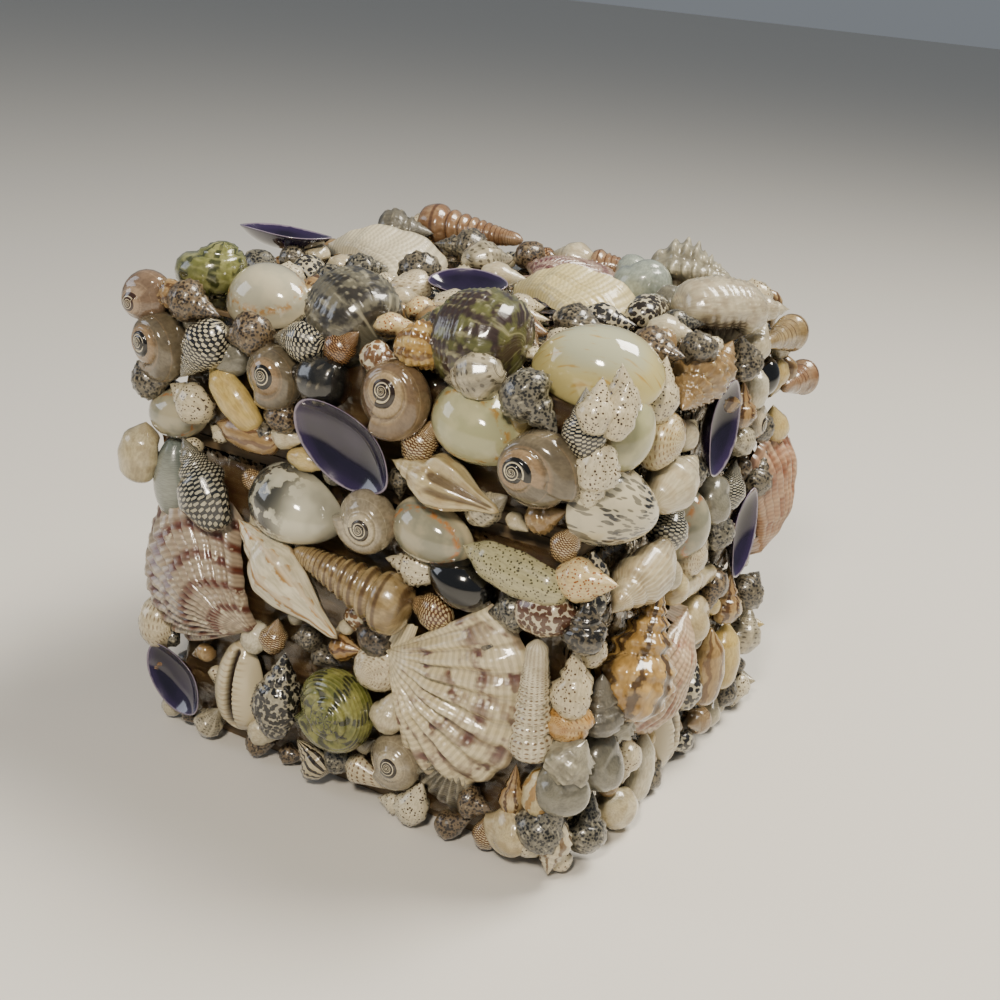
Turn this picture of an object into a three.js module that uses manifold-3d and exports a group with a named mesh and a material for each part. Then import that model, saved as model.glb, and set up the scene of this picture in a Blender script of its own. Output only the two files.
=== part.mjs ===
// Shell box: a lidded wooden box whose outside is covered with sea shells set in clear glue.
// Millimetres, +Z up, origin at the middle of the underside, front towards -Y.
import * as THREE from "three";
import { mergeVertices } from "three/addons/utils/BufferGeometryUtils.js";
import Module from "manifold-3d";

const wasm = await Module();
wasm.setup();

// ---------------------------------------------------------------- driving dimensions
const WIDTH = 106; // wooden box, left to right
const DEPTH = 95; // wooden box, front to back
const SEAM = 78; // height of the body's rim
const GAP = 0.3; // space between two pieces that touch
const LID_TOP = 109.5; // top of the wooden lid
const WALL = 6; // thickness of the boards
const GLUE = 2.3; // thickness of the glue that the shells are set in
const SEAT = GAP + GLUE + GAP; // height of a shell's back above the wood
const FLOOR_CLEAR = 0.6; // the lowest shell's height above the table
const BODY_BED = [2.5, 75.5]; // heights that the glue covers on the body
const LID_BED = [81, 108.5]; // heights that the glue covers on the lid's sides
const LID_BOTTOM = SEAM + GAP;
const SMALLEST = 0.75; // a small shell is left out if it would have to shrink further than this
const SHRINK = 0.88; // and this is how much it shrinks at a time
const BUD_SEAT = 1.6; // height of a small shell's back above the wood, down in the glue
const FIT = 0.995; // share of a small shell that has to be clear of its neighbours

// ---------------------------------------------------------------- colours
const WOOD = 0x8f7a60;
const CREAM = 0xe2d6bb;
const WHITE = 0xe6e2d8;
const GREY = 0x8d8a86;
const TAN = 0xb58a5c;
const RUST = 0xa4614a;
const VIOLET = 0x3f3560;
const OLIVE = 0x7c7b48;
const DARK = 0x3a3a3c;
const GOLD = 0xc79a4a;
const GLUED = 0xb9ab95;

// ---------------------------------------------------------------- solids
/** Joins a geometry's shared corners and turns it right side out. */
function weld(geometry) {
  const bare = geometry.index ? geometry.toNonIndexed() : geometry.clone();
  bare.deleteAttribute("normal");
  bare.deleteAttribute("uv");
  const merged = mergeVertices(bare, 1e-4);
  const { array } = merged.index;
  const corners = [];
  const [a, b, c] = [new THREE.Vector3(), new THREE.Vector3(), new THREE.Vector3()];
  let volume = 0;
  for (let i = 0; i < array.length; i += 3) {
    const [p, q, r] = array.slice(i, i + 3);
    if (p === q || q === r || r === p) continue;
    corners.push(p, q, r);
    a.fromBufferAttribute(merged.attributes.position, p);
    b.fromBufferAttribute(merged.attributes.position, q);
    c.fromBufferAttribute(merged.attributes.position, r);
    volume += a.dot(b.cross(c));
  }
  merged.setIndex(volume < 0 ? corners.reverse() : corners);
  return merged;
}

/** A closed geometry as a solid that can be joined and cut. */
function toSolid(geometry) {
  const welded = weld(geometry);
  return new wasm.Manifold(new wasm.Mesh({
    numProp: 3,
    vertProperties: new Float32Array(welded.attributes.position.array),
    triVerts: new Uint32Array(welded.index.array),
  }));
}

/** The largest single body of a solid, as a geometry. */
function toGeometry(solid) {
  const whole = solid.decompose().sort((a, b) => b.volume() - a.volume())[0];
  const mesh = whole.getMesh();
  const geometry = new THREE.BufferGeometry();
  geometry.setAttribute("position", new THREE.BufferAttribute(mesh.vertProperties, 3));
  geometry.setIndex(new THREE.BufferAttribute(mesh.triVerts, 1));
  return geometry;
}

/** Moves every corner of a geometry with a function of its place. */
function reshape(geometry, move) {
  const { position } = geometry.attributes;
  const corner = new THREE.Vector3();
  for (let i = 0; i < position.count; i += 1) {
    corner.fromBufferAttribute(position, i);
    move(corner);
    position.setXYZ(i, corner.x, corner.y, corner.z);
  }
  return geometry;
}

/** A block between two corners. */
function block([x0, y0, z0], [x1, y1, z1]) {
  return new THREE.BoxGeometry(x1 - x0, y1 - y0, z1 - z0)
    .translate((x0 + x1) / 2, (y0 + y1) / 2, (z0 + z1) / 2);
}

/** A copy grown by a margin on every side, about the middle of its box. */
function grown(geometry, margin) {
  geometry.computeBoundingBox();
  const middle = geometry.boundingBox.getCenter(new THREE.Vector3());
  const size = geometry.boundingBox.getSize(new THREE.Vector3());
  const copy = geometry.clone().translate(-middle.x, -middle.y, -middle.z);
  copy.scale(1 + 2 * margin / size.x, 1 + 2 * margin / size.y, 1 + 2 * margin / size.z);
  return copy.translate(middle.x, middle.y, middle.z);
}

// ---------------------------------------------------------------- shells, each lying on z = 0
/** Rings of a coiled shell from its mouth to its tip, as [share of length, share of radius]. */
function whorls({ body, count, canal, waist, fall = 0.72 }) {
  const rings = [[0.04, canal], [0.4 * body, 0.92], [0.75 * body, 1]];
  const unit = (1 - body) * (1 - fall) / (1 - fall ** count);
  let start = body;
  for (let k = 0; k < count; k += 1) {
    const height = unit * fall ** k;
    const radius = (share) => 0.95 * (1 - share) / (1 - body);
    rings.push([start, radius(start) * waist]);
    if (k < count - 1) rings.push([start + 0.5 * height, radius(start + 0.25 * height)]);
    start += height;
  }
  return rings;
}

const STYLES = {
  nassa: whorls({ body: 0.6, count: 2, canal: 0.45, waist: 0.8 }),
  dove: whorls({ body: 0.66, count: 2, canal: 0.4, waist: 0.84 }),
  turban: whorls({ body: 0.62, count: 3, canal: 0.62, waist: 0.78 }),
  squat: whorls({ body: 0.66, count: 2, canal: 0.78, waist: 0.84 }),
  turret: whorls({ body: 0.3, count: 4, canal: 0.6, waist: 0.82, fall: 0.84 }),
  tower: whorls({ body: 0.25, count: 4, canal: 0.7, waist: 0.76, fall: 0.9 }),
  whelk: whorls({ body: 0.68, count: 2, canal: 0.16, waist: 0.8 }),
  olive: [[0, 0.3], [0.15, 0.75], [0.45, 1], [0.75, 0.8], [0.9, 0.4]],
  bud: [[0.1, 0.6], [0.42, 1]],
};

/** A coiled shell on its side, tip towards +X, its whorls slanting like a screw's turns. */
function coiled({ size: [length, width], style = "nassa", sides = 6, slant = 0.22 }) {
  const rings = STYLES[style].map(([share, radius]) => new THREE.Vector2(
    radius * width / 2, (share - 0.5) * length));
  const profile = [new THREE.Vector2(0, -length / 2), ...rings, new THREE.Vector2(0, length / 2)];
  const geometry = new THREE.LatheGeometry(profile, sides).rotateZ(-Math.PI / 2);
  return reshape(geometry, (p) => {
    const tip = Math.max(0, 0.5 - Math.abs(p.x) / length);
    p.x += slant * p.y * Math.min(1, 4 * tip);
    p.z = p.z * 0.86 + 0.37 * width;
  });
}

/** A globe-shaped snail with its spire facing out; the last turn swells towards its mouth. */
function globe({ size: [width, height], sides = 8 }) {
  const rings = [
    [0, 0], [0.7, 0], [1, 0.34], [0.86, 0.68], [0.56, 0.84], [0.5, 0.93], [0.24, 0.96], [0, 1.06],
  ];
  const profile = rings.map(([radius, share]) => (
    new THREE.Vector2(radius * width / 2, share * height)));
  const geometry = new THREE.LatheGeometry(profile, sides).rotateX(Math.PI / 2);
  return reshape(geometry, (p) => {
    const turn = (Math.atan2(p.y, p.x) + 2 * Math.PI) % (2 * Math.PI);
    const swell = 0.88 + 0.2 * turn / (2 * Math.PI);
    p.x = p.x * swell - 0.1 * p.z;
    p.y = p.y * swell;
  });
}

/** A smooth domed shell, such as a cowrie's back or a nerite, wider at its -X end. */
function dome({ size: [length, width], height = 0.62, sides = 8 }) {
  const geometry = new THREE.SphereGeometry(1, sides, 5).rotateX(Math.PI / 2);
  return reshape(geometry, (p) => {
    p.y *= (1 - 0.14 * p.x) * width / 2;
    p.x *= length / 2;
    p.z = (p.z < 0 ? 0.18 * p.z + 0.18 : 0.82 * p.z + 0.18) * height * width;
  });
}

/** A cowrie's toothed underside: a dome with its long slit cut across it. */
function slitDome({ size: [length, width], sides = 8 }) {
  const height = 0.5;
  const [reach, gape] = [0.42 * length, 0.06 * width];
  const slit = block([-reach, -gape, 0.6 * height * width], [reach, gape, width]);
  return toGeometry(toSolid(dome({ size: [length, width], height, sides })).subtract(toSolid(slit)));
}

/** One half of a clam lying open side out, its beak towards +X: a thin cup with a level rim. */
function cup({ size: [length, width], depth = 0.3, sides = 10 }) {
  const thick = 1.1;
  const drop = depth * width;
  const [under, inside] = [0.12 * drop, 0.14 * drop + thick];
  const profile = [[0, 0], [0.6, under], [1, drop], [0.9, drop], [0.5, inside], [0, thick]];
  const points = profile.map(([radius, rise]) => new THREE.Vector2(radius, rise));
  const geometry = new THREE.LatheGeometry(points, sides).rotateX(Math.PI / 2);
  return reshape(geometry, (p) => {
    const beak = 1 + 0.1 * p.x - 0.34 * Math.max(0, p.x) ** 3;
    p.y *= beak * width / 2;
    p.x *= length / 2;
  });
}

const BEHIND = 2.3; // direction of a fan's two hinge corners, seen from its beak

/** A ribbed fan lying open side down: its hinge at the middle of the frame, opening towards +X. */
function fan({ size: [radius, spread], rise = 0.26, ribs = 7, hinge = 0.2, shy = 0.2 }) {
  const half = THREE.MathUtils.degToRad(spread / 2);
  const sides = 2 * ribs + 3;
  const rows = [[0, 0.35], [0.42, 1], [0.8, 0.72], [1, 0.1], [0, 0]];
  const profile = rows.map(([share, lift]) => new THREE.Vector2(share, lift));
  const geometry = new THREE.LatheGeometry(profile, sides).rotateX(Math.PI / 2);
  return reshape(geometry, (p) => {
    const share = Math.hypot(p.x, p.y);
    const turn = Math.atan2(p.y, p.x);
    const column = Math.round((Math.abs(turn) * sides) / (2 * Math.PI));
    const place = column / ribs;
    const open = column <= ribs;
    const angle = Math.sign(turn) * (open ? place * half : BEHIND);
    const reach = open ? radius * (1 - shy * place ** 3) : radius * hinge;
    const ridge = open && column % 2 === 0 ? 1 : 0.72;
    p.x = share * reach * Math.cos(angle);
    p.y = share * reach * Math.sin(angle);
    p.z *= rise * radius * ridge * (1 - 0.3 * Math.min(1, place) ** 2);
  });
}

// ---------------------------------------------------------------- faces of the box
const FACES = {
  front: { middle: [0, -DEPTH / 2, 0], along: [1, 0, 0], up: [0, 0, 1] },
  right: { middle: [WIDTH / 2, 0, 0], along: [0, 1, 0], up: [0, 0, 1] },
  back: { middle: [0, DEPTH / 2, 0], along: [-1, 0, 0], up: [0, 0, 1] },
  left: { middle: [-WIDTH / 2, 0, 0], along: [0, -1, 0], up: [0, 0, 1] },
  top: { middle: [0, 0, LID_TOP], along: [1, 0, 0], up: [0, 1, 0] },
};

/** The frame of a place on a face: X along it, Y up it and Z out of it. */
function placed(face, [along, up], out) {
  const side = FACES[face];
  const x = new THREE.Vector3(...side.along);
  const y = new THREE.Vector3(...side.up);
  const z = x.clone().cross(y);
  const spot = new THREE.Vector3(...side.middle)
    .addScaledVector(x, along).addScaledVector(y, up).addScaledVector(z, out);
  return new THREE.Matrix4().makeBasis(x, y, z).setPosition(spot);
}

/** A shell's geometry set on its face, tipped up and swung aside where it sits on an edge. */
function setShell({ make, face, at, turn = 0, tip = 0, swing = 0, out = SEAT, ...shape }) {
  const pose = new THREE.Euler(...[-tip, swing, turn].map(THREE.MathUtils.degToRad), "YXZ");
  const frame = placed(face, at, out).multiply(new THREE.Matrix4().makeRotationFromEuler(pose));
  return make(shape).applyMatrix4(frame);
}

// ---------------------------------------------------------------- the named shells
const SHELLS = [
  // lid, front
  {
    name: "violet_clam_lid_front", make: cup, face: "front", at: [-1.5, 90.5], size: [27, 19],
    turn: -33, tip: -12, out: 5, colour: VIOLET,
  },
  {
    name: "moon_snail_dark_eye", make: globe, face: "front", at: [48.5, 96.5], size: [17, 12.5], turn: -30,
    colour: GREY,
  },
  {
    name: "moon_snail_pale_eye", make: globe, face: "front", at: [11, 101], size: [17, 11.5],
    turn: 240, tip: 8, colour: TAN,
  },
  {
    name: "green_cowrie_lid_front", make: dome, face: "front", at: [30, 100.5], size: [22, 16],
    turn: -12, tip: 8, colour: CREAM,
  },
  {
    name: "moon_snail_left_edge", make: globe, face: "front", at: [-55.5, 98.5], size: [16.5, 12],
    turn: 235, swing: -14, out: 1, colour: GREY,
  },
  {
    name: "speckled_nassa_lid_front", make: coiled, face: "front", at: [-42.5, 101], size: [18, 12],
    turn: 235, tip: 10, colour: DARK,
  },
  {
    name: "open_whelk", make: coiled, style: "whelk", face: "front", at: [24.5, 87.5], size: [28, 12],
    turn: 170, colour: CREAM,
  },
  {
    name: "golden_nassa", make: coiled, face: "front", at: [17, 112], size: [18, 11],
    turn: 4, tip: 40, out: 1, colour: GOLD,
  },
  {
    name: "dashed_nerite", make: dome, face: "right", at: [-43, 88], size: [24, 17],
    turn: -18, swing: -22, out: 2.9, colour: WHITE,
  },
  // lid, top
  {
    name: "yellow_cowrie_corner", make: dome, face: "top", at: [49, -38], size: [27, 20],
    turn: 200, tip: -28, swing: 12, out: 1.5, colour: CREAM,
  },
  {
    name: "olive_turban_lid", make: coiled, style: "squat", face: "top", at: [21, -42], size: [27, 23],
    turn: 176, tip: -30, out: -1, colour: OLIVE,
  },
  {
    name: "grey_turban_lid", make: coiled, style: "squat", face: "top", at: [-13, -39], size: [30, 21],
    turn: 150, tip: -26, out: -2, colour: GREY,
  },
  {
    name: "grey_cowrie_top_edge", make: dome, face: "top", at: [-33, -41], size: [23, 17],
    turn: -6, tip: -34, out: 1, colour: WHITE,
  },
  {
    name: "white_ark_shell", make: fan, face: "top", at: [-50, 5], size: [31, 78], turn: 22,
    ribs: 8, rise: 0.32, colour: WHITE,
  },
  {
    name: "cream_ark_shell", make: fan, face: "top", at: [7, 3], size: [32, 76], turn: 10,
    ribs: 8, rise: 0.34, colour: CREAM,
  },
  {
    name: "violet_clam_top_front", make: cup, face: "top", at: [-1, -9], size: [20, 14],
    turn: 8, tip: -12, out: 5, colour: VIOLET,
  },
  {
    name: "violet_clam_top_left", make: cup, face: "top", at: [-57, -8], size: [25, 16],
    turn: 10, tip: 5, out: 6.5, colour: VIOLET,
  },
  {
    name: "maroon_scallop", make: fan, face: "top", at: [0, 21], size: [26, 110], turn: 70,
    ribs: 7, rise: 0.24, colour: RUST,
  },
  {
    name: "pale_ribbed_snail", make: coiled, style: "turban", face: "top", at: [54, 19], size: [30, 17],
    turn: 50, out: 1, colour: WHITE,
  },
  {
    name: "grey_spiny_shell", make: coiled, style: "nassa", face: "top", at: [33, 42], size: [22, 15],
    turn: 14, out: 2, colour: GREY,
  },
  {
    name: "brown_turret_back_edge", make: coiled, style: "turret", face: "top", at: [-33, 43],
    size: [32, 13], turn: 3, colour: TAN,
  },
  // lid, right side
  {
    name: "violet_clam_lid_right", make: cup, face: "right", at: [4, 93.5], size: [23, 17], turn: 82,
    out: 4.5, colour: VIOLET,
  },
  {
    name: "green_cowrie_lid_right", make: dome, face: "right", at: [-42, 103.5], size: [18, 15],
    turn: 60, swing: -18, out: 2.5, colour: CREAM,
  },
  {
    name: "white_conch_lid_right", make: coiled, style: "dove", face: "right", at: [-19, 87],
    size: [22, 13], turn: 15, colour: WHITE,
  },
  {
    name: "ribbed_snail_lid_right", make: coiled, face: "right", at: [-13, 106.5], size: [20, 14],
    turn: 205, tip: 24, out: 2.5, colour: TAN,
  },
  // body, front
  {
    name: "cream_scallop", make: fan, face: "front", at: [14, 43.5], size: [37, 112], turn: -20,
    out: 5, ribs: 9, rise: 0.24, colour: CREAM,
  },
  {
    name: "mottled_cockle", make: fan, face: "front", at: [-30, 36.5], size: [42, 102],
    turn: 158, swing: -10, out: 5, ribs: 7, rise: 0.3, shy: 0.38, colour: RUST,
  },
  {
    name: "white_conch", make: coiled, style: "whelk", face: "front", at: [-15, 54], size: [37, 15],
    turn: 144, out: 4, colour: WHITE,
  },
  {
    name: "brown_turret", make: coiled, style: "turret", face: "front", at: [2, 57.5], size: [33, 15],
    turn: 169, colour: TAN,
  },
  {
    name: "mottled_white_snail", make: dome, face: "front", at: [-16, 70.5], size: [25, 18], turn: -8,
    colour: WHITE,
  },
  {
    name: "checkered_shell", make: coiled, style: "dove", face: "front", at: [-40, 70],
    size: [24, 15], turn: 122, colour: DARK,
  },
  {
    name: "moon_snail_body_front", make: globe, face: "front", at: [3.5, 72.5], size: [15, 10.5],
    turn: 180, colour: GREY,
  },
  {
    name: "grey_cowrie_body_front", make: dome, face: "front", at: [20.5, 74], size: [20, 14],
    turn: -6, colour: GREY,
  },
  {
    name: "dotted_olive", make: coiled, style: "olive", face: "front", at: [42.5, 72], size: [27, 11],
    turn: 172, colour: CREAM,
  },
  {
    name: "violet_clam_low_left", make: cup, face: "front", at: [-51, 14.5], size: [21, 15],
    turn: -35, swing: -6, out: 4, colour: VIOLET,
  },
  {
    name: "cowrie_underside", make: slitDome, face: "front", at: [-32.5, 18], size: [24, 14],
    turn: 87, colour: WHITE,
  },
  {
    name: "grey_granular_shell", make: coiled, face: "front", at: [-18, 22], size: [24, 13], turn: 84,
    colour: DARK,
  },
  {
    name: "green_turban", make: globe, face: "front", at: [-1, 23.5], size: [20, 13], turn: 200,
    colour: OLIVE,
  },
  {
    name: "white_tower", make: coiled, style: "tower", face: "front", at: [51, 44.5], size: [29, 10],
    turn: 92, out: 5, colour: WHITE,
  },
  {
    name: "grey_limpet", make: fan, face: "front", at: [33, 23], size: [18, 108], turn: 228,
    ribs: 6, rise: 0.35, colour: GREY,
  },
  // body, right side
  {
    name: "pink_scallop", make: fan, face: "right", at: [1, 46.5], size: [32, 84], turn: 244,
    out: 4, ribs: 7, rise: 0.26, colour: RUST,
  },
  {
    name: "golden_tulip", make: coiled, face: "right", at: [-32, 49.5], size: [32, 19], turn: 66,
    out: 1, colour: GOLD,
  },
  {
    name: "white_ribbed_snail", make: coiled, style: "turban", face: "right", at: [-33, 68.5],
    size: [26, 14], turn: 198, out: 2, colour: WHITE,
  },
  {
    name: "green_cowrie_body_right", make: dome, face: "right", at: [-3, 70.5], size: [17, 13], turn: 80,
    colour: GREY,
  },
  {
    name: "violet_clam_body_right", make: cup, face: "right", at: [31, 58.5], size: [24, 15], turn: 84,
    out: 4, colour: VIOLET,
  },
  {
    name: "orange_scallop", make: fan, face: "right", at: [49, 49.5], size: [32, 70], turn: 84,
    out: 4, ribs: 6, rise: 0.26, colour: RUST,
  },
  // sides turned away
  {
    name: "white_scallop_back", make: fan, face: "back", at: [0, 24.5], size: [34, 96], turn: 90,
    ribs: 7, rise: 0.25, colour: WHITE,
  },
  {
    name: "cockle_left", make: fan, face: "left", at: [4, 24.5], size: [32, 90], turn: 88,
    ribs: 7, rise: 0.27, colour: RUST,
  },
];

// ---------------------------------------------------------------- small shells fused to the glue
// Each row: along the face, up it, length, width, turn.
const SMALL = {
  lid_front: [
    [-58, 91.5, 13, 10, 20], [-31, 108, 14, 11, 200], [-16.5, 109.5, 15, 10, 185],
    [-34.5, 92.5, 20, 9.5, 138], [-23, 100, 15, 11, 230], [-47, 89, 14, 11, 160],
    [-20, 92.5, 11, 9, 80], [-11, 102.5, 16, 12, 180], [28.5, 111.5, 15, 11, 200],
    [43.5, 108.5, 16, 12, -38], [55.5, 107.5, 15, 10.5, 98], [58, 96, 17, 9.5, 262],
    [-31, 84, 19, 8, 176], [48, 85, 10, 7, 30], [-46, 111.5, 15, 10, 350], [-5, 110.5, 11, 8, 45],
    [17, 94.5, 12.5, 9, 60], [5, 109.5, 10.5, 8, 0], [-61, 110.5, 12, 9, 30], [-53, 83.5, 17, 12, 10],
    [-19.5, 86, 9, 7, 0], [-13.5, 81.5, 13, 6, 0], [-6, 81.5, 8, 6, 70], [34, 83.5, 12, 8, 40],
    [38.5, 103.5, 8, 6, 200], [62, 111.5, 13, 9, 80], [-55, 112, 11, 8, 200], [-36, 100.5, 9, 8, 0],
    [-27, 86, 9, 7, 130],
  ],
  lid_right: [
    [5, 108.5, 13, 9, 40], [17, 107.5, 13, 10, 120], [41, 107.5, 22, 10, 178], [21, 94.5, 12, 9, 90],
    [57, 92.5, 17, 10, 180], [38, 97.5, 11, 9, 80], [30, 96.5, 11, 8, 80], [-29, 109.5, 15, 10, 80],
    [-10, 95, 11, 8, 20], [24, 84.5, 12, 8, 170], [40, 84.5, 13, 8, 5], [-27, 97.5, 14, 10, 300],
    [-2, 84, 11, 8, 0], [-47, 112.5, 14, 9, 100], [-57, 112.5, 12, 8.5, 80], [13, 99.5, 11, 8, 70],
    [32, 87.5, 10, 8, 0], [28, 108.5, 12, 8, 50],
  ],
  lid_back: 8,
  lid_left: 6,
  lid_top: [
    [-54, -38, 20, 17, 190], [-25, -26, 14, 10, 170], [5, -22, 14, 9, 20], [34, -17, 15, 10, 350],
    [55, -22, 14, 10, 350], [-20, -1, 14, 11, 120], [-8, 3, 11, 8, 30], [-14, 21, 15, 11, 60],
    [26, 30, 15, 11, 140], [-48, 33, 16, 12, 20], [-28, 30, 15, 11, 200], [-2, 44, 14, 10, 170],
    [36, -29, 11, 8, 100], [15, -10, 11, 8, 60], [35, -7, 14, 9, 10], [50, -5, 12, 9, 20],
    [11, 45, 15, 9, 10], [52, 42, 13, 10, 80], [39, 6, 17, 10, 96],
    [-31, -8, 13, 9, 75], [-40, -28, 12, 8, 130], [61, -12, 12, 9, 80],
    [39, 21, 11, 9, 40], [19, 41, 12, 9, 20],
  ],
  body_front: [
    [-54.5, 66.5, 21, 11, 90], [28, 64.5, 17, 12, 160], [51, 64.5, 15, 11, 8], [15.5, 64.5, 14, 8, 180],
    [-36, 58.5, 10, 8, 80], [-21.5, 35.5, 10, 8, 80], [0, 9.5, 11, 8, 10], [1, 37.5, 10, 8, 10],
    [9.5, 46.5, 13, 10, 60], [15, 15.5, 14, 11, 215], [9.5, 37.5, 12, 9, 20], [46, 18.5, 14, 6.5, 90],
    [58.5, 50.5, 17, 10, 92], [58, 40, 10, 9, 0], [60, 33, 13, 11, 60], [59, 24.5, 13, 11, 40],
    [54, 22.5, 14, 9.5, 75], [57, 8.5, 15, 8.5, 268], [46.5, 9, 12, 10, 150], [-24, 8, 9, 8, 0],
    [21.5, 56, 13, 9, 175], [-49, 25.5, 11, 8, 20], [-8.5, 7.5, 11.5, 10, 150],
    [38.5, 54.5, 10, 8, 45], [-62, 72.5, 16, 12, 80], [8, 46.5, 9, 7, 20], [59, 74, 15, 10, 10],
    [60, 64.5, 13, 10, 92], [13, 27.5, 11.5, 10, 80], [7, 8.5, 14, 8, 170], [56, 15, 15, 12, 60],
    [37, 11.5, 9, 8, 0], [52, 8.5, 10, 8, 60], [2.5, 49.5, 10, 8, 100], [-13, 37.5, 9, 7, 200],
    [-27, 33.5, 9, 8, 60],
  ],
  body_right: [
    [-38, 24.5, 14, 12, 60], [-32, 32.5, 12, 10, 20], [3, 54.5, 30, 9, -10], [-11, 61.5, 11, 9, 10],
    [14, 65.5, 14, 10, 120], [0, 62.5, 12, 8, 350], [29, 40.5, 14, 10, 80], [3, 12.5, 23, 12, 100],
    [-12, 8.5, 19, 8, 85], [20, 24.5, 22, 11, 88], [33, 22.5, 20, 10, 92], [44, 38.5, 14, 11, 20],
    [12, 22.5, 14, 9, 60], [-42, 10.5, 15, 11, 80], [-27, 5.5, 14, 11, 150], [6, 42.5, 13, 11, 0],
    [11, 72.5, 12, 10, 30], [-16, 75.5, 15, 11, 60],
    [-47, 57.5, 12, 8, 80], [-43, 41.5, 15, 12, 95], [41, 71.5, 13, 9, 60], [22, 73.5, 13, 9, 80],
    [45, 25.5, 14, 11, 70],
  ],
  body_back: 12,
  body_left: 10,
};

/** Small shells spread in staggered rows over a bed whose sides are out of sight. */
function spreadRows(count, width, [low, high]) {
  const rows = [];
  const perRow = Math.round(Math.sqrt((count * width) / (high - low)));
  const levels = Math.ceil(count / perRow);
  for (let i = 0; i < count; i += 1) {
    const level = Math.floor(i / perRow);
    const shift = 0.25 * ((level % 2) * 2 - 1);
    const along = ((i % perRow) + 0.5 + shift) / perRow - 0.5;
    const up = low + ((level + 0.5) / levels) * (high - low);
    const length = 13 + 4 * Math.sin(5 * i + 1);
    rows.push([along * (width - 12), up + 3 * Math.sin(7 * i), length, 0.68 * length, 83 * i]);
  }
  return rows;
}

/** The glue on one face: a thin slab whose edge runs in and out a little. */
function glueSlab(face, halfWidth, [low, high]) {
  const outline = new THREE.Shape();
  const steps = 12;
  for (let i = 0; i < steps; i += 1) {
    const turn = (i / steps) * 2 * Math.PI + Math.PI / 4;
    const square = 1 / Math.max(Math.abs(Math.cos(turn)), Math.abs(Math.sin(turn)));
    const reach = square * (1 - 0.03 * (1 + Math.sin(5 * turn)));
    const x = reach * Math.cos(turn) * halfWidth;
    const y = (low + high) / 2 + (reach * Math.sin(turn) * (high - low)) / 2;
    if (i) outline.lineTo(x, y);
    else outline.moveTo(x, y);
  }
  const slab = new THREE.ExtrudeGeometry(outline, { depth: GLUE, bevelEnabled: false, steps: 1 });
  return slab.applyMatrix4(placed(face, [0, 0], GAP));
}

const BEDS = [
  { name: "front", key: "lid_front", half: WIDTH / 2, span: LID_BED },
  { name: "right", key: "lid_right", half: DEPTH / 2, span: LID_BED },
  { name: "back", key: "lid_back", half: WIDTH / 2, span: LID_BED },
  { name: "left", key: "lid_left", half: DEPTH / 2, span: LID_BED },
  { name: "top", key: "lid_top", half: WIDTH / 2, span: [-DEPTH / 2, DEPTH / 2] },
  { name: "front", key: "body_front", half: WIDTH / 2, span: BODY_BED },
  { name: "right", key: "body_right", half: DEPTH / 2, span: BODY_BED },
  { name: "back", key: "body_back", half: WIDTH / 2, span: BODY_BED },
  { name: "left", key: "body_left", half: DEPTH / 2, span: BODY_BED },
];

// ---------------------------------------------------------------- the box
const box = new THREE.Group();

/** Adds one named piece. */
function addPiece(name, geometry, colour, roughness) {
  const material = new THREE.MeshStandardMaterial({ color: colour, roughness, metalness: 0 });
  const mesh = new THREE.Mesh(geometry, material);
  mesh.name = name;
  box.add(mesh);
}

const [halfW, halfD] = [WIDTH / 2, DEPTH / 2];
const bodyBlock = block([-halfW, -halfD, 0], [halfW, halfD, SEAM]);
const bodyHollow = block(
  [WALL - halfW, WALL - halfD, WALL],
  [halfW - WALL, halfD - WALL, SEAM + 1],
);
addPiece("box_body", toGeometry(toSolid(bodyBlock).subtract(toSolid(bodyHollow))), WOOD, 0.7);

const lidBlock = block([-halfW, -halfD, LID_BOTTOM], [halfW, halfD, LID_TOP]);
const lidHollow = block(
  [WALL - halfW, WALL - halfD, LID_BOTTOM - 1],
  [halfW - WALL, halfD - WALL, LID_TOP - WALL],
);
addPiece("lid", toGeometry(toSolid(lidBlock).subtract(toSolid(lidHollow))), WOOD, 0.7);

/** A solid kept with its box, so that only near neighbours are cut from each other. */
function claim(geometry, margin) {
  const shape = grown(geometry, margin);
  shape.computeBoundingBox();
  return { bounds: shape.boundingBox, solid: toSolid(shape).add(toSolid(geometry)) };
}

/** What is left of a solid clear of everything claimed before it. */
function clearOf(solid, bounds, claims) {
  return claims.filter((other) => other.bounds.intersectsBox(bounds))
    .reduce((rest, other) => rest.subtract(other.solid), solid);
}

const slabs = BEDS.map(({ name, half, span }) => glueSlab(name, half, span));
const table = block([-200, -200, -50], [200, 200, FLOOR_CLEAR]);
const claims = [bodyBlock, lidBlock, ...slabs].map((geometry) => claim(geometry, GAP));
claims.push(claim(table, 0));

for (const { name, colour, ...row } of SHELLS) {
  const geometry = setShell(row);
  geometry.computeBoundingBox();
  const cut = toGeometry(clearOf(toSolid(geometry), geometry.boundingBox, claims));
  addPiece(name, cut, colour, 0.25);
  claims.push(claim(cut, GAP));
}

const shellClaims = claims.slice(2 + slabs.length);
const wood = claims.slice(0, 2);

/** A small shell shrunk until it all but clears its neighbours, then cut clear of the others. */
function fitSmall(face, [along, up, length, width, turn], kin) {
  for (let scale = 1; scale > SMALLEST; scale *= SHRINK) {
    const size = [length * scale, width * scale];
    const bud = { make: coiled, style: "bud", sides: 5, slant: 0, out: BUD_SEAT };
    const geometry = setShell({ ...bud, face, at: [along, up], size, turn });
    geometry.computeBoundingBox();
    const whole = toSolid(geometry);
    const cut = clearOf(whole, geometry.boundingBox, [...wood, ...shellClaims]);
    const alone = clearOf(cut, geometry.boundingBox, kin);
    if (alone.volume() > FIT * whole.volume()) {
      kin.push({ bounds: geometry.boundingBox, solid: whole });
      return cut;
    }
  }
  return null;
}

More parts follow.
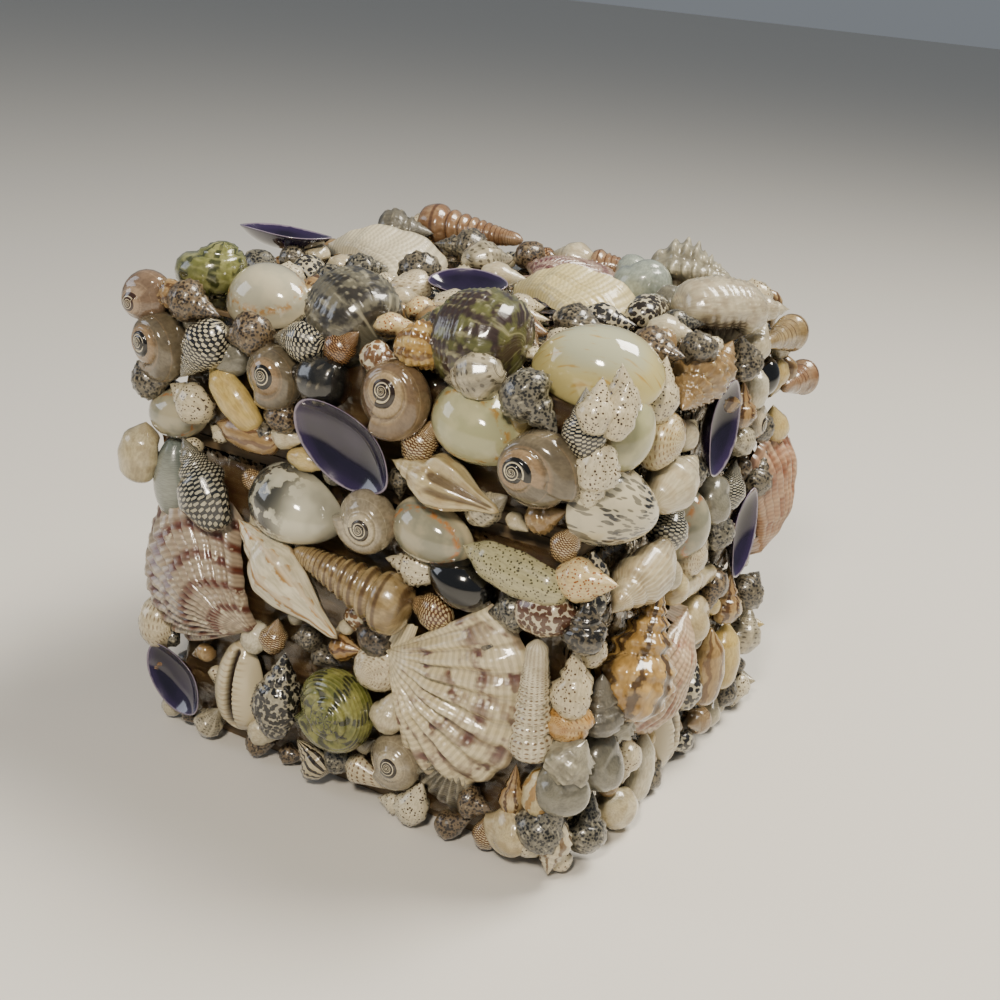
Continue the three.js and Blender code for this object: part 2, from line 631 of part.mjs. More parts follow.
BEDS.forEach(({ name, key, half, span }, index) => {
  const rows = Array.isArray(SMALL[key]) ? SMALL[key] : spreadRows(SMALL[key], 2 * half, span);
  const kin = [];
  const small = rows.map((row) => fitSmall(name, row, kin)).filter((solid) => solid);
  const bed = toGeometry(small.reduce((whole, solid) => whole.add(solid), toSolid(slabs[index])));
  addPiece(`glued_small_shells_${key}`, bed, GLUED, 0.3);
  shellClaims.push(claim(bed, GAP / 2));
});

export default box;
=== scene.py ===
"""Shell box: a lidded wooden box whose outside is covered with sea shells set in clear glue.

Every shell is grown in millimetres from its length, width and species. It lies on the plane z = 0
with its tip, beak or hinge along X, and is then set on a face of the box or on its own CAD node.
"""

import logging
import math
from dataclasses import dataclass, field
from enum import Enum
from typing import Any, Iterable

import bmesh
import bpy
import numpy as np
from mathutils import Matrix, Vector


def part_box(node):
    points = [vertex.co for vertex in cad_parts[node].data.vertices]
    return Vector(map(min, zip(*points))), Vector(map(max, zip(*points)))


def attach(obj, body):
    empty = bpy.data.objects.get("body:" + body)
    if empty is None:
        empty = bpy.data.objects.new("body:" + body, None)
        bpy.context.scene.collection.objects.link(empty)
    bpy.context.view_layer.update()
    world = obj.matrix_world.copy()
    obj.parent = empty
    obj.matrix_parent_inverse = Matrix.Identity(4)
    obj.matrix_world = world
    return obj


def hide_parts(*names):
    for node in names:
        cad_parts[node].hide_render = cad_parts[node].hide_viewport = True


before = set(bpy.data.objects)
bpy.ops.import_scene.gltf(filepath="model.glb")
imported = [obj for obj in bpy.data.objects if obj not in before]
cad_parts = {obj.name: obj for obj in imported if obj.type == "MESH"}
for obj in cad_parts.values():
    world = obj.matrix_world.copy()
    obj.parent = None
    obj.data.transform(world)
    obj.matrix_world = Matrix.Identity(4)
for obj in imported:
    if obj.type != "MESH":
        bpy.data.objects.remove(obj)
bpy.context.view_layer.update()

MM = 0.001
TAU = 2 * math.pi
SEED = 11
log = logging.getLogger("shell_box")


# ---------------------------------------------------------------- shader sums
class Val:
    """A node's output that can be used in sums."""

    def __init__(self, shader: "Shader", socket: bpy.types.NodeSocket) -> None:
        """Wraps a socket.

        Args:
            shader: The shader that the socket is in.
            socket: The output socket.
        """
        self.shader = shader
        self.socket = socket

    def _sum(self, operation: str, *values: Any) -> "Val":
        """Adds a Math node.

        Args:
            operation: The Math node's operation.
            values: Its inputs in order.

        Returns:
            The node's output.
        """
        return self.shader.value("ShaderNodeMath", {"operation": operation}, dict(enumerate(values)))

    def __add__(self, other: Any) -> "Val":
        """Adds a value or number.

        Args:
            other: The other value.

        Returns:
            The sum.
        """
        return self._sum("ADD", self, other)

    def __radd__(self, other: Any) -> "Val":
        """Adds this to a number.

        Args:
            other: The other value.

        Returns:
            The sum.
        """
        return self._sum("ADD", other, self)

    def __sub__(self, other: Any) -> "Val":
        """Takes a value or number away.

        Args:
            other: The other value.

        Returns:
            The difference.
        """
        return self._sum("SUBTRACT", self, other)

    def __rsub__(self, other: Any) -> "Val":
        """Takes this away from a number.

        Args:
            other: The other value.

        Returns:
            The difference.
        """
        return self._sum("SUBTRACT", other, self)

    def __mul__(self, other: Any) -> "Val":
        """Multiplies by a value or number.

        Args:
            other: The other value.

        Returns:
            The product.
        """
        return self._sum("MULTIPLY", self, other)

    def __rmul__(self, other: Any) -> "Val":
        """Multiplies a number by this.

        Args:
            other: The other value.

        Returns:
            The product.
        """
        return self._sum("MULTIPLY", other, self)

    def __truediv__(self, other: Any) -> "Val":
        """Divides by a value or number.

        Args:
            other: The other value.

        Returns:
            The quotient.
        """
        return self._sum("DIVIDE", self, other)

    def __rtruediv__(self, other: Any) -> "Val":
        """Divides a number by this.

        Args:
            other: The other value.

        Returns:
            The quotient.
        """
        return self._sum("DIVIDE", other, self)

    def __pow__(self, other: Any) -> "Val":
        """Raises this to a power.

        Args:
            other: The other value.

        Returns:
            The power.
        """
        return self._sum("POWER", self, other)

    def __neg__(self) -> "Val":
        """Turns the sign round.

        Returns:
            The value with its other sign.
        """
        return self._sum("MULTIPLY", self, -1.0)

    def __abs__(self) -> "Val":
        """Drops the sign.

        Returns:
            The size of the value.
        """
        return self._sum("ABSOLUTE", self)

    def sine(self) -> "Val":
        """Gives the sine of an angle.

        Returns:
            The sine, from -1 to 1.
        """
        return self._sum("SINE", self)

    def share(self) -> "Val":
        """Gives the part after the point.

        Returns:
            The fraction, from 0 to 1.
        """
        return self._sum("FRACT", self)

    def ramp(self, low: float, high: float) -> "Val":
        """Gives a smooth step.

        Args:
            low: The value that becomes 0.
            high: The value that becomes 1.

        Returns:
            A value from 0 to 1.
        """
        return self.shader.value(
            "ShaderNodeMapRange",
            {"interpolation_type": "SMOOTHSTEP"},
            {"Value": self, "From Min": low, "From Max": high},
        )


class Shader:
    """A material that is put together from expressions."""

    def __init__(self, name: str) -> None:
        """Starts an empty material.

        Args:
            name: The material's name.
        """
        self.material = bpy.data.materials.new(name)
        self.material.use_nodes = True
        self.tree = self.material.node_tree
        self.tree.nodes.clear()

    def node(
        self, kind: str, settings: dict[str, Any] | None = None, inputs: dict[Any, Any] | None = None
    ) -> bpy.types.Node:
        """Adds a node.

        Args:
            kind: The node's type.
            settings: Its properties, which are set first. "stops" fills a colour ramp.
            inputs: Values or links of its sockets, by name or number.

        Returns:
            The node.
        """
        made = self.tree.nodes.new(kind)
        for key, value in (settings or {}).items():
            if key == "stops":
                elements = made.color_ramp.elements
                while len(elements) < len(value):
                    elements.new(1.0)
                for element, (position, colour) in zip(elements, value):
                    element.position = position
                    element.color = colour
            else:
                setattr(made, key, value)
        for key, value in (inputs or {}).items():
            if isinstance(value, Val):
                self.tree.links.new(value.socket, made.inputs[key])
            else:
                made.inputs[key].default_value = value
        return made

    def value(
        self, kind: str, settings: dict[str, Any] | None = None, inputs: dict[Any, Any] | None = None,
        output: Any = 0,
    ) -> Val:
        """Adds a node and wraps one of its outputs.

        Args:
            kind: The node's type.
            settings: Its properties.
            inputs: Values or links of its sockets.
            output: The output's name or number.

        Returns:
            The wrapped output.
        """
        return Val(self, self.node(kind, settings, inputs).outputs[output])

    def attribute(self, name: str, output: str = "Color") -> Val:
        """Reads a value that is stored on the mesh.

        Args:
            name: The attribute's name.
            output: "Color" or "Vector".

        Returns:
            The attribute.
        """
        return self.value("ShaderNodeAttribute", {"attribute_name": name}, output=output)

    def parts(self, vector: Val) -> list[Val]:
        """Splits a vector.

        Args:
            vector: The vector.

        Returns:
            Its three numbers.
        """
        node = self.node("ShaderNodeSeparateXYZ", inputs={0: vector})
        return [Val(self, socket) for socket in node.outputs]

    def vector(self, x: Any, y: Any, z: Any = 0.0) -> Val:
        """Joins three numbers.

        Args:
            x: The first number.
            y: The second.
            z: The third.

        Returns:
            The vector.
        """
        return self.value("ShaderNodeCombineXYZ", inputs={0: x, 1: y, 2: z})

    def place(self) -> Val:
        """Gives the place on the object in millimetres.

        Returns:
            The place.
        """
        raw = self.value("ShaderNodeTexCoord", output="Object")
        scale = (1 / MM, 1 / MM, 1 / MM)
        return self.value("ShaderNodeVectorMath", {"operation": "MULTIPLY"}, {0: raw, 1: scale})

    def noise(self, vector: Val, scale: float, detail: float = 3.0) -> Val:
        """Gives soft noise.

        Args:
            vector: The coordinates.
            scale: How many swings to a unit.
            detail: How many finer layers.

        Returns:
            A value about 0.5.
        """
        return self.value("ShaderNodeTexNoise", None, {"Vector": vector, "Scale": scale, "Detail": detail})

    def cells(self, vector: Val, scale: float) -> Val:
        """Gives the distance to the nearest of many scattered points.

        Args:
            vector: The coordinates.
            scale: How many points to a unit.

        Returns:
            The distance, in cells.
        """
        return self.value("ShaderNodeTexVoronoi", None, {"Vector": vector, "Scale": scale}, "Distance")

    def mix(self, factor: Any, first: Any, second: Any, blend: str = "MIX") -> Val:
        """Blends two colours.

        Args:
            factor: The second colour's share.
            first: The first colour.
            second: The second colour.
            blend: How they are blended.

        Returns:
            The colour.
        """
        settings = {"data_type": "RGBA", "blend_type": blend, "clamp_factor": True}
        return self.value("ShaderNodeMix", settings, {0: factor, 6: first, 7: second}, 2)

    def surface(
        self, colour: Any, height: Val | None = None, relief: float = 0.1, **constants: Any
    ) -> bpy.types.Material:
        """Finishes the material with a Principled shader.

        Args:
            colour: The base colour.
            height: The height that the bump follows.
            relief: The bump's height in millimetres.
            constants: Plain values of the shader's own sockets, with _ for a space.

        Returns:
            The material.
        """
        inputs = {key.replace("_", " "): value for key, value in constants.items()}
        inputs["Base Color"] = colour
        if height is not None:
            inputs["Normal"] = self.value("ShaderNodeBump", None, {"Height": height, "Distance": relief * MM})
        shader = self.value("ShaderNodeBsdfPrincipled", None, inputs)
        self.node("ShaderNodeOutputMaterial", None, {0: shader})
        return self.material


def ink(code: str) -> tuple[float, float, float, float]:
    """Turns a paint code into a linear colour.

    Args:
        code: Six hexadecimal digits.

    Returns:
        Red, green, blue and 1.
    """
    parts = [int(code[i:i + 2], 16) / 255 for i in (0, 2, 4)]
    linear = [p / 12.92 if p <= 0.04045 else ((p + 0.055) / 1.055) ** 2.4 for p in parts]
    return (*linear, 1.0)


# ---------------------------------------------------------------- finishes
YELLOWED = "e8e3cd"  # tint of the old clear glue that every shell is seen through


@dataclass(frozen=True)
class Paint:
    """What a shell's pattern is worked out from."""

    shader: Shader
    turn: Val
    phase: Val
    crest: Val
    place: Val
    ground: Val
    mark: Val
    accent: Val


@dataclass(frozen=True)
class Finish:
    """A plain glossy shell with faint growth lines."""

    name: str
    roughness: float = 0.24
    coat: float = 0.85
    relief: float = 0.07
    # How far the painted highlight lightens the crests towards the accent colour.
    crest_highlight: float = 0.7

    def colour(self, paint: Paint) -> Val:
        """Works out the pattern.

        Args:
            paint: The values on the mesh.

        Returns:
            The colour.
        """
        mottle = paint.shader.noise(paint.place, 0.34).ramp(0.44, 0.62)
        return paint.shader.mix(0.55 * mottle, paint.ground, paint.mark)

    def grain(self, paint: Paint) -> Val:
        """Works out the fine relief.

        Args:
            paint: The values on the mesh.

        Returns:
            A height from 0 to 1.
        """
        lines = paint.shader.vector(50.0 * paint.turn, 3.0 * paint.phase)
        return paint.shader.noise(lines, 1.0, 2.0)

    def build(self) -> bpy.types.Material:
        """Makes the material.

        Returns:
            The material.
        """
        shader = Shader(self.name)
        turn, phase, crest = shader.parts(shader.attribute("coil", "Vector"))
        paint = Paint(
            shader, turn, phase, crest, shader.place(),
            shader.attribute("ground"), shader.attribute("mark"), shader.attribute("accent"),
        )
        grain = self.grain(paint)
        # Painted highlight: ribs, beads, cords and the tops of domes are lightened towards the accent colour.
        relief_tinted = shader.mix(crest.ramp(0.35, 0.95) * self.crest_highlight, self.colour(paint), paint.accent)
        lined = shader.mix(0.22 * grain.ramp(0.62, 0.35), relief_tinted, ink("3a2c22"), "MULTIPLY")
        # Painted shade: the inside of a snail's mouth and the underside of a dome are darkened towards brown.
        mouth_shaded = shader.mix((-crest).ramp(0.1, 0.8) * 0.75, lined, ink("5a4030"), "MULTIPLY")
        return shader.surface(
            shader.mix(1.0, mouth_shaded, ink(YELLOWED), "MULTIPLY"), grain, self.relief, Roughness=self.roughness,
            Coat_Weight=self.coat, Coat_Roughness=0.06, Specular_IOR_Level=0.5,
        )


@dataclass(frozen=True)
class Speckled(Finish):
    """Scattered specks over the ground."""

    scale: float = 0.9
    cover: float = 0.42

    def colour(self, paint: Paint) -> Val:
        """Works out the pattern.

        Args:
            paint: The values on the mesh.

        Returns:
            The colour.
        """
        wobble = paint.shader.noise(paint.place, 0.8)
        reach = paint.shader.cells(paint.place, self.scale) + 0.4 * wobble
        spots = reach.ramp(self.cover + 0.42, self.cover + 0.32)
        base = paint.shader.mix(0.4 * wobble, paint.ground, paint.accent)
        return paint.shader.mix(spots, base, paint.mark)


@dataclass(frozen=True)
class Checkered(Finish):
    """Small dark checks that follow the turns."""

    across: int = 13
    bands: float = 5.0

    def colour(self, paint: Paint) -> Val:
        """Works out the pattern.

        Args:
            paint: The values on the mesh.

        Returns:
            The colour.
        """
        jitter = 4.0 * paint.shader.noise(paint.place, 0.5)
        along = (TAU * self.across * paint.turn + jitter).sine()
        over = (TAU * self.bands * paint.phase + jitter).sine()
        checks = (along * over + 0.16).ramp(-0.04, 0.08)
        stain = paint.shader.noise(paint.place, 0.15).ramp(0.45, 0.65)
        base = paint.shader.mix(0.35 * stain, paint.ground, paint.accent)
        return paint.shader.mix(checks, base, paint.mark)


@dataclass(frozen=True)
class Flamed(Finish):
    """Wavy streaks that run along the shell, across its turns."""

    streaks: int = 7

    def colour(self, paint: Paint) -> Val:
        """Works out the pattern.

        Args:
            paint: The values on the mesh.

        Returns:
            The colour.
        """
        wave = 7.0 * paint.shader.noise(paint.place, 0.28)
        streak = (TAU * self.streaks * paint.turn + wave).sine()
        patch = paint.shader.noise(paint.place, 0.22).ramp(0.4, 0.7)
        base = paint.shader.mix(patch, paint.ground, paint.accent)
        return paint.shader.mix(streak.ramp(0.1, 0.75), base, paint.mark)


@dataclass(frozen=True)
class Marbled(Finish):
    """Large soft patches broken by pale flecks."""

    def colour(self, paint: Paint) -> Val:
        """Works out the pattern.

        Args:
            paint: The values on the mesh.

        Returns:
            The colour.
        """
        shader = paint.shader
        patch = shader.noise(paint.place, 0.26, 4.0).ramp(0.42, 0.56)
        streak = shader.noise(shader.vector(26.0 * paint.turn, 2.0 * paint.phase), 1.0, 3.0).ramp(0.56, 0.68)
        return shader.mix(0.7 * streak, shader.mix(patch, paint.ground, paint.mark), paint.accent)


@dataclass(frozen=True)
class Striped(Finish):
    """Even stripes that cross its turns."""

    stripes: int = 15

    def colour(self, paint: Paint) -> Val:
        """Works out the pattern.

        Args:
            paint: The values on the mesh.

        Returns:
            The colour.
        """
        wave = 1.4 * paint.shader.noise(paint.place, 0.35)
        stripe = (TAU * self.stripes * paint.turn + wave).sine().ramp(-0.1, 0.2)
        return paint.shader.mix(stripe, paint.ground, paint.mark)


@dataclass(frozen=True)
class Banded(Finish):
    """Thin lines that run round with the turns, broken into dots."""

    bands: float = 3.0
    dots: int = 18

    def colour(self, paint: Paint) -> Val:
        """Works out the pattern.

        Args:
            paint: The values on the mesh.

        Returns:
            The colour.
        """
        line = (TAU * self.bands * paint.phase).sine()
        dot = (TAU * self.dots * paint.turn).sine()
        patch = paint.shader.noise(paint.place, 0.3).ramp(0.35, 0.7)
        base = paint.shader.mix(patch, paint.ground, paint.accent)
        return paint.shader.mix((line + 0.5 * dot).ramp(0.55, 1.0) * 0.85, base, paint.mark)


@dataclass(frozen=True)
class MoonSnail(Finish):
    """A smooth snail with a dark spiral eye and a pale line beneath the seam of its turns."""

    eye: float = 0.95

    def colour(self, paint: Paint) -> Val:
        """Works out the pattern.

        Args:
            paint: The values on the mesh.

        Returns:
            The colour.
        """
        shader = paint.shader
        whorl = paint.phase.share()
        seam = whorl.ramp(0.8, 1.0) * paint.phase.ramp(-1.2, -0.9)
        streak = shader.noise(shader.vector(14.0 * paint.turn, 0.7 * paint.phase), 1.0).ramp(0.35, 0.7)
        body = shader.mix(0.45 * streak, paint.ground, shader.mix(0.5, paint.ground, paint.mark))
        lit = shader.mix(0.35 * seam, body, paint.accent)
        ring = paint.phase.ramp(self.eye - 1.1, self.eye - 0.5)
        warmed = shader.mix(0.55 * ring, lit, paint.accent)
        heart = paint.phase.ramp(self.eye, self.eye + 0.12)
        ringed = shader.mix(heart, warmed, paint.mark)
        return shader.mix(heart * whorl.ramp(0.7, 0.82), ringed, ink("efe6d6"))


@dataclass(frozen=True)
class CowrieGloss(Finish):
    """A polished back with an amber ring, cloudy patches and a pale rim."""

    def colour(self, paint: Paint) -> Val:
        """Works out the pattern.

        Args:
            paint: The values on the mesh.

        Returns:
            The colour.
        """
        shader = paint.shader
        cloud = shader.noise(paint.place, 0.16)
        height = paint.crest + 0.25 * (cloud - 0.5)
        back = shader.mix(cloud.ramp(0.42, 0.62), paint.ground, shader.mix(0.5, paint.ground, paint.accent))
        ring = height.ramp(0.38, 0.5) * height.ramp(0.66, 0.52)
        fleck = shader.noise(paint.place, 0.7).ramp(0.42, 0.6)
        ringed = shader.mix(ring * fleck * 0.8, back, paint.mark)
        return shader.mix(height.ramp(0.36, 0.2), ringed, paint.accent)

    def build(self) -> bpy.types.Material:
        """Makes the material.

        Returns:
            The material.
        """
        shader = Shader(self.name)
        along, across, height = shader.parts(shader.attribute("coil", "Vector"))
        paint = Paint(
            shader, along, across, height, shader.place(),
            shader.attribute("ground"), shader.attribute("mark"), shader.attribute("accent"),
        )
        return shader.surface(
            shader.mix(1.0, self.colour(paint), ink(YELLOWED), "MULTIPLY"),
            shader.noise(paint.place, 0.5, 1.0), self.relief,
            Roughness=self.roughness, Coat_Weight=self.coat, Coat_Roughness=0.04,
        )


@dataclass(frozen=True)
class Smudged(CowrieGloss):
    """A pale glossy back with dark smudges at its wide end."""

    def colour(self, paint: Paint) -> Val:
        """Works out the pattern.

        Args:
            paint: The values on the mesh.

        Returns:
            The colour.
        """
        shader = paint.shader
        near = paint.turn.ramp(0.45, -0.2)
        smudge = shader.noise(paint.place, 0.3, 4.0).ramp(0.46, 0.52) * near
        cloud = shader.noise(paint.place, 0.12, 2.0).ramp(0.4, 0.65)
        return shader.mix(0.9 * smudge, shader.mix(cloud, paint.ground, paint.accent), paint.mark)


@dataclass(frozen=True)
class Yolk(CowrieGloss):
    """A cream back with a bluish patch and yellow streaks."""

    def colour(self, paint: Paint) -> Val:
        """Works out the pattern.

        Args:
            paint: The values on the mesh.

        Returns:
            The colour.
        """
        shader = paint.shader
        cloud = shader.noise(paint.place, 0.1, 1.0)
        cool = (paint.crest + 0.5 * (cloud - 0.5)).ramp(0.5, 0.85)
        base = shader.mix(0.8 * cool, paint.ground, paint.accent)
        streak = shader.noise(shader.vector(2.2 * paint.turn, 9.0 * paint.phase), 1.0, 2.0).ramp(0.56, 0.72)
        return shader.mix(0.75 * streak, base, paint.mark)


@dataclass(frozen=True)
class Toothed(CowrieGloss):
    """A cowrie's pale underside with tinted teeth and painted shade darkening the slit between them."""

    def colour(self, paint: Paint) -> Val:
        """Works out the pattern.

        Args:
            paint: The values on the mesh.

        Returns:
            The colour.
        """
        # Painted shade: the slit between the teeth is darkened to a deep brown.
        slit = abs(paint.phase).ramp(0.2, 0.05) * abs(paint.turn).ramp(0.92, 0.8)
        teeth = abs(paint.phase).ramp(0.62, 0.3) * (48.0 * paint.turn).sine().ramp(0.2, 0.9)
        relief_tinted = paint.shader.mix(0.45 * teeth, paint.ground, paint.mark)
        return paint.shader.mix(slit, relief_tinted, ink("2d1f16"))


@dataclass(frozen=True)
class Dashed(CowrieGloss):
    """Short broken dashes over a pale back."""

    def colour(self, paint: Paint) -> Val:
        """Works out the pattern.

        Args:
            paint: The values on the mesh.

        Returns:
            The colour.
        """
        shader = paint.shader
        drift = 3.0 * shader.noise(paint.place, 0.15)
        stretched = shader.vector(4.0 * paint.turn, 11.0 * paint.phase + drift)
        dashes = shader.cells(stretched, 1.0).ramp(0.5, 0.42)
        cloud = shader.noise(paint.place, 0.2).ramp(0.45, 0.65)
        base = shader.mix(cloud * 0.4, paint.ground, paint.accent)
        return shader.mix(dashes * (0.65 + 0.35 * cloud), base, paint.mark)


@dataclass(frozen=True)
class ClamCup(CowrieGloss):
    """A clam's violet inside with a lilac band and a pale rim."""

    def colour(self, paint: Paint) -> Val:
        """Works out the pattern.

        Args:
            paint: The values on the mesh.

        Returns:
            The colour.
        """
        shader = paint.shader
        reach = paint.turn + 0.06 * (shader.noise(paint.place, 0.4) - 0.5)
        cloud = shader.noise(paint.place, 0.12).ramp(0.35, 0.7)
        deep = shader.mix(0.5 * cloud, paint.ground, paint.mark)
        rings = (90.0 * reach).sine().ramp(0.3, 1.0) * 0.12
        lit = shader.mix(rings, deep, paint.mark)
        edge = shader.mix(reach.ramp(0.78, 0.95), lit, paint.mark)
        return shader.mix(reach.ramp(0.955, 0.99), edge, paint.accent)


@dataclass(frozen=True)
class FanRibs(Finish):
    """A ribbed fan with growth bands and blotches towards its edge."""

    blotch: float = 0.55
    scale: float = 0.22

    def colour(self, paint: Paint) -> Val:
        """Works out the pattern.

        Args:
            paint: The values on the mesh.

        Returns:
            The colour.
        """
        shader = paint.shader
        bands = (34.0 * paint.turn + 3.0 * shader.noise(paint.place, 0.15)).sine().ramp(-0.2, 0.9)
        patch = shader.noise(shader.vector(4.5 * paint.turn, 4.0 * paint.phase), 1.0, 4.0)
        spots = shader.noise(paint.place, self.scale * 2.2, 2.0)
        cover = (0.6 * patch + 0.4 * spots + 0.08 * paint.turn).ramp(self.blotch, self.blotch + 0.08)
        base = shader.mix(0.3 * bands, paint.ground, paint.accent)
        # Painted shade: the grooves between the ribs are darkened.
        groove = paint.crest.ramp(0.25, 0.0)
        inked = shader.mix(cover * (0.55 + 0.45 * bands), base, paint.mark)
        return shader.mix(0.35 * groove, inked, ink("6b5a48"), "MULTIPLY")

    def grain(self, paint: Paint) -> Val:
        """Works out the fine relief.

        Args:
            paint: The values on the mesh.

        Returns:
            A height from 0 to 1.
        """
        rings = (150.0 * paint.turn).sine() * 0.5 + 0.5
        return 0.6 * rings + 0.4 * paint.shader.noise(paint.place, 1.2)


@dataclass(frozen=True)
class GreyedWood:
    """Bare wood gone grey under the glue."""

    name: str = "greyed_wood"

    def build(self) -> bpy.types.Material:
        """Makes the material.

        Returns:
            The material.
        """
        shader = Shader(self.name)
        x, y, z = shader.parts(shader.place())
        fibre = shader.noise(shader.vector(0.05 * x, 0.35 * y, 0.9 * z), 1.0, 5.0)
        streak = shader.noise(shader.vector(0.02 * x, 0.08 * y, 0.25 * z), 1.0, 2.0)
        tone = shader.value(
            "ShaderNodeValToRGB",
            {"stops": [(0.25, ink("3c3024")), (0.5, ink("6a583f")), (0.75, ink("8f7a5a"))]},
            {0: 0.6 * fibre + 0.4 * streak},
        )
        return shader.surface(tone, fibre, 0.12, Roughness=0.6, Coat_Weight=0.15)


@dataclass(frozen=True)
class ClearGlue:
    """Clear hardened glue, faintly warm, with a wet shine."""

    name: str = "clear_glue"

    def build(self) -> bpy.types.Material:
        """Makes the material.

        Returns:
            The material.
        """
        shader = Shader(self.name)
        height = shader.noise(shader.place(), 0.45, 1.0)
        return shader.surface(
            ink("fbf6ec"), height, 0.2, Roughness=0.04, IOR=1.47, Transmission_Weight=1.0,
        )


class Coatings(Enum):
    """The finishes that the shells, the glue and the wood are given."""

    PLAIN = Finish("plain_shell")
    ROUGH = Finish("corded_shell", roughness=0.38, coat=0.6, relief=0.16)
    SPECKLED = Speckled("speckled_shell")
    DOTTED = Speckled("dotted_shell", scale=1.3, cover=0.12)
    CHECKERED = Checkered("checkered_shell")
    FLAMED = Flamed("flamed_shell")
    BANDED = Banded("banded_shell")
    RINGED = Banded("ringed_shell", bands=1.0, dots=0)
    GRITTY = Speckled("gritty_shell", roughness=0.34, coat=0.7, relief=0.14, scale=1.5, cover=0.3)
    SMUDGED = Smudged("smudged_shell", roughness=0.12, coat=0.95, relief=0.02)
    MARBLED = Marbled("marbled_shell", roughness=0.3, relief=0.16)
    STRIPED = Striped("striped_shell")
    YOLK = Yolk("yellow_cowrie_shell", roughness=0.1, coat=1.0, relief=0.02)
    BLOTCHED = FanRibs(
        "blotched_fan_shell", crest_highlight=0.2, roughness=0.35, coat=0.7, relief=0.12, blotch=0.4, scale=0.3,
    )
    MOON = MoonSnail("moon_snail_shell", roughness=0.15, relief=0.03)
    COWRIE = CowrieGloss("cowrie_shell", roughness=0.12, coat=0.95, relief=0.03)
    TOOTHED = Toothed("cowrie_underside_shell", roughness=0.2)
    DASHED = Dashed("dashed_shell", roughness=0.2)
    CLAM = ClamCup("violet_clam_shell", roughness=0.14, coat=0.9, relief=0.03)
    FAN = FanRibs("fan_shell", crest_highlight=0.2, roughness=0.35, coat=0.7, relief=0.12, blotch=0.54, scale=0.14)
    PALE_FAN = FanRibs("pale_fan_shell", crest_highlight=0.2, roughness=0.4, coat=0.6, relief=0.14, blotch=0.72)
    WOOD = GreyedWood()
    GLUE = ClearGlue()


class Paintshop:
    """Makes each finish once."""

    def __init__(self) -> None:
        """Starts with no finishes made."""
        self.made: dict[Coatings, bpy.types.Material] = {}

    def get(self, coating: Coatings) -> bpy.types.Material:
        """Gives a finish's material.

        Args:
            coating: The finish.

        Returns:
            The material.
        """
        if coating not in self.made:
            self.made[coating] = coating.value.build()
        return self.made[coating]


# ---------------------------------------------------------------- forms
@dataclass
class Patch:
    """A grid of points and the values that its finish is painted by."""

    points: np.ndarray
    coil: np.ndarray
    wrap: bool = True
    flip: bool = False


def grid(*fields: np.ndarray) -> np.ndarray:
    """Stacks fields into one grid of vectors.

    Args:
        fields: Arrays that broadcast to one shape.

    Returns:
        The grid, with the fields as its last axis.
    """
    return np.stack(np.broadcast_arrays(*fields), axis=-1)


def step(low: float, high: float, at: np.ndarray) -> np.ndarray:
    """Gives a smooth step.

    Args:
        low: Where it is 0.
        high: Where it is 1.
        at: Where it is wanted.

    Returns:
        The step's height.
    """
    share = np.clip((at - low) / (high - low), 0, 1)
    return share * share * (3 - 2 * share)


def outline(stops: tuple[tuple[float, float], ...], at: np.ndarray) -> np.ndarray:
    """Gives a smooth curve through the stops.

    Args:
        stops: Pairs of place and height.
        at: The places that are wanted, from 0 to 1.

    Returns:
        The heights.
    """
    fine = np.linspace(0, 1, 401)
    kernel = np.hanning(43)
    line = np.pad(np.interp(fine, *zip(*stops)), 21, mode="edge")
    return np.interp(at, fine, np.convolve(line, kernel / kernel.sum(), mode="valid"))


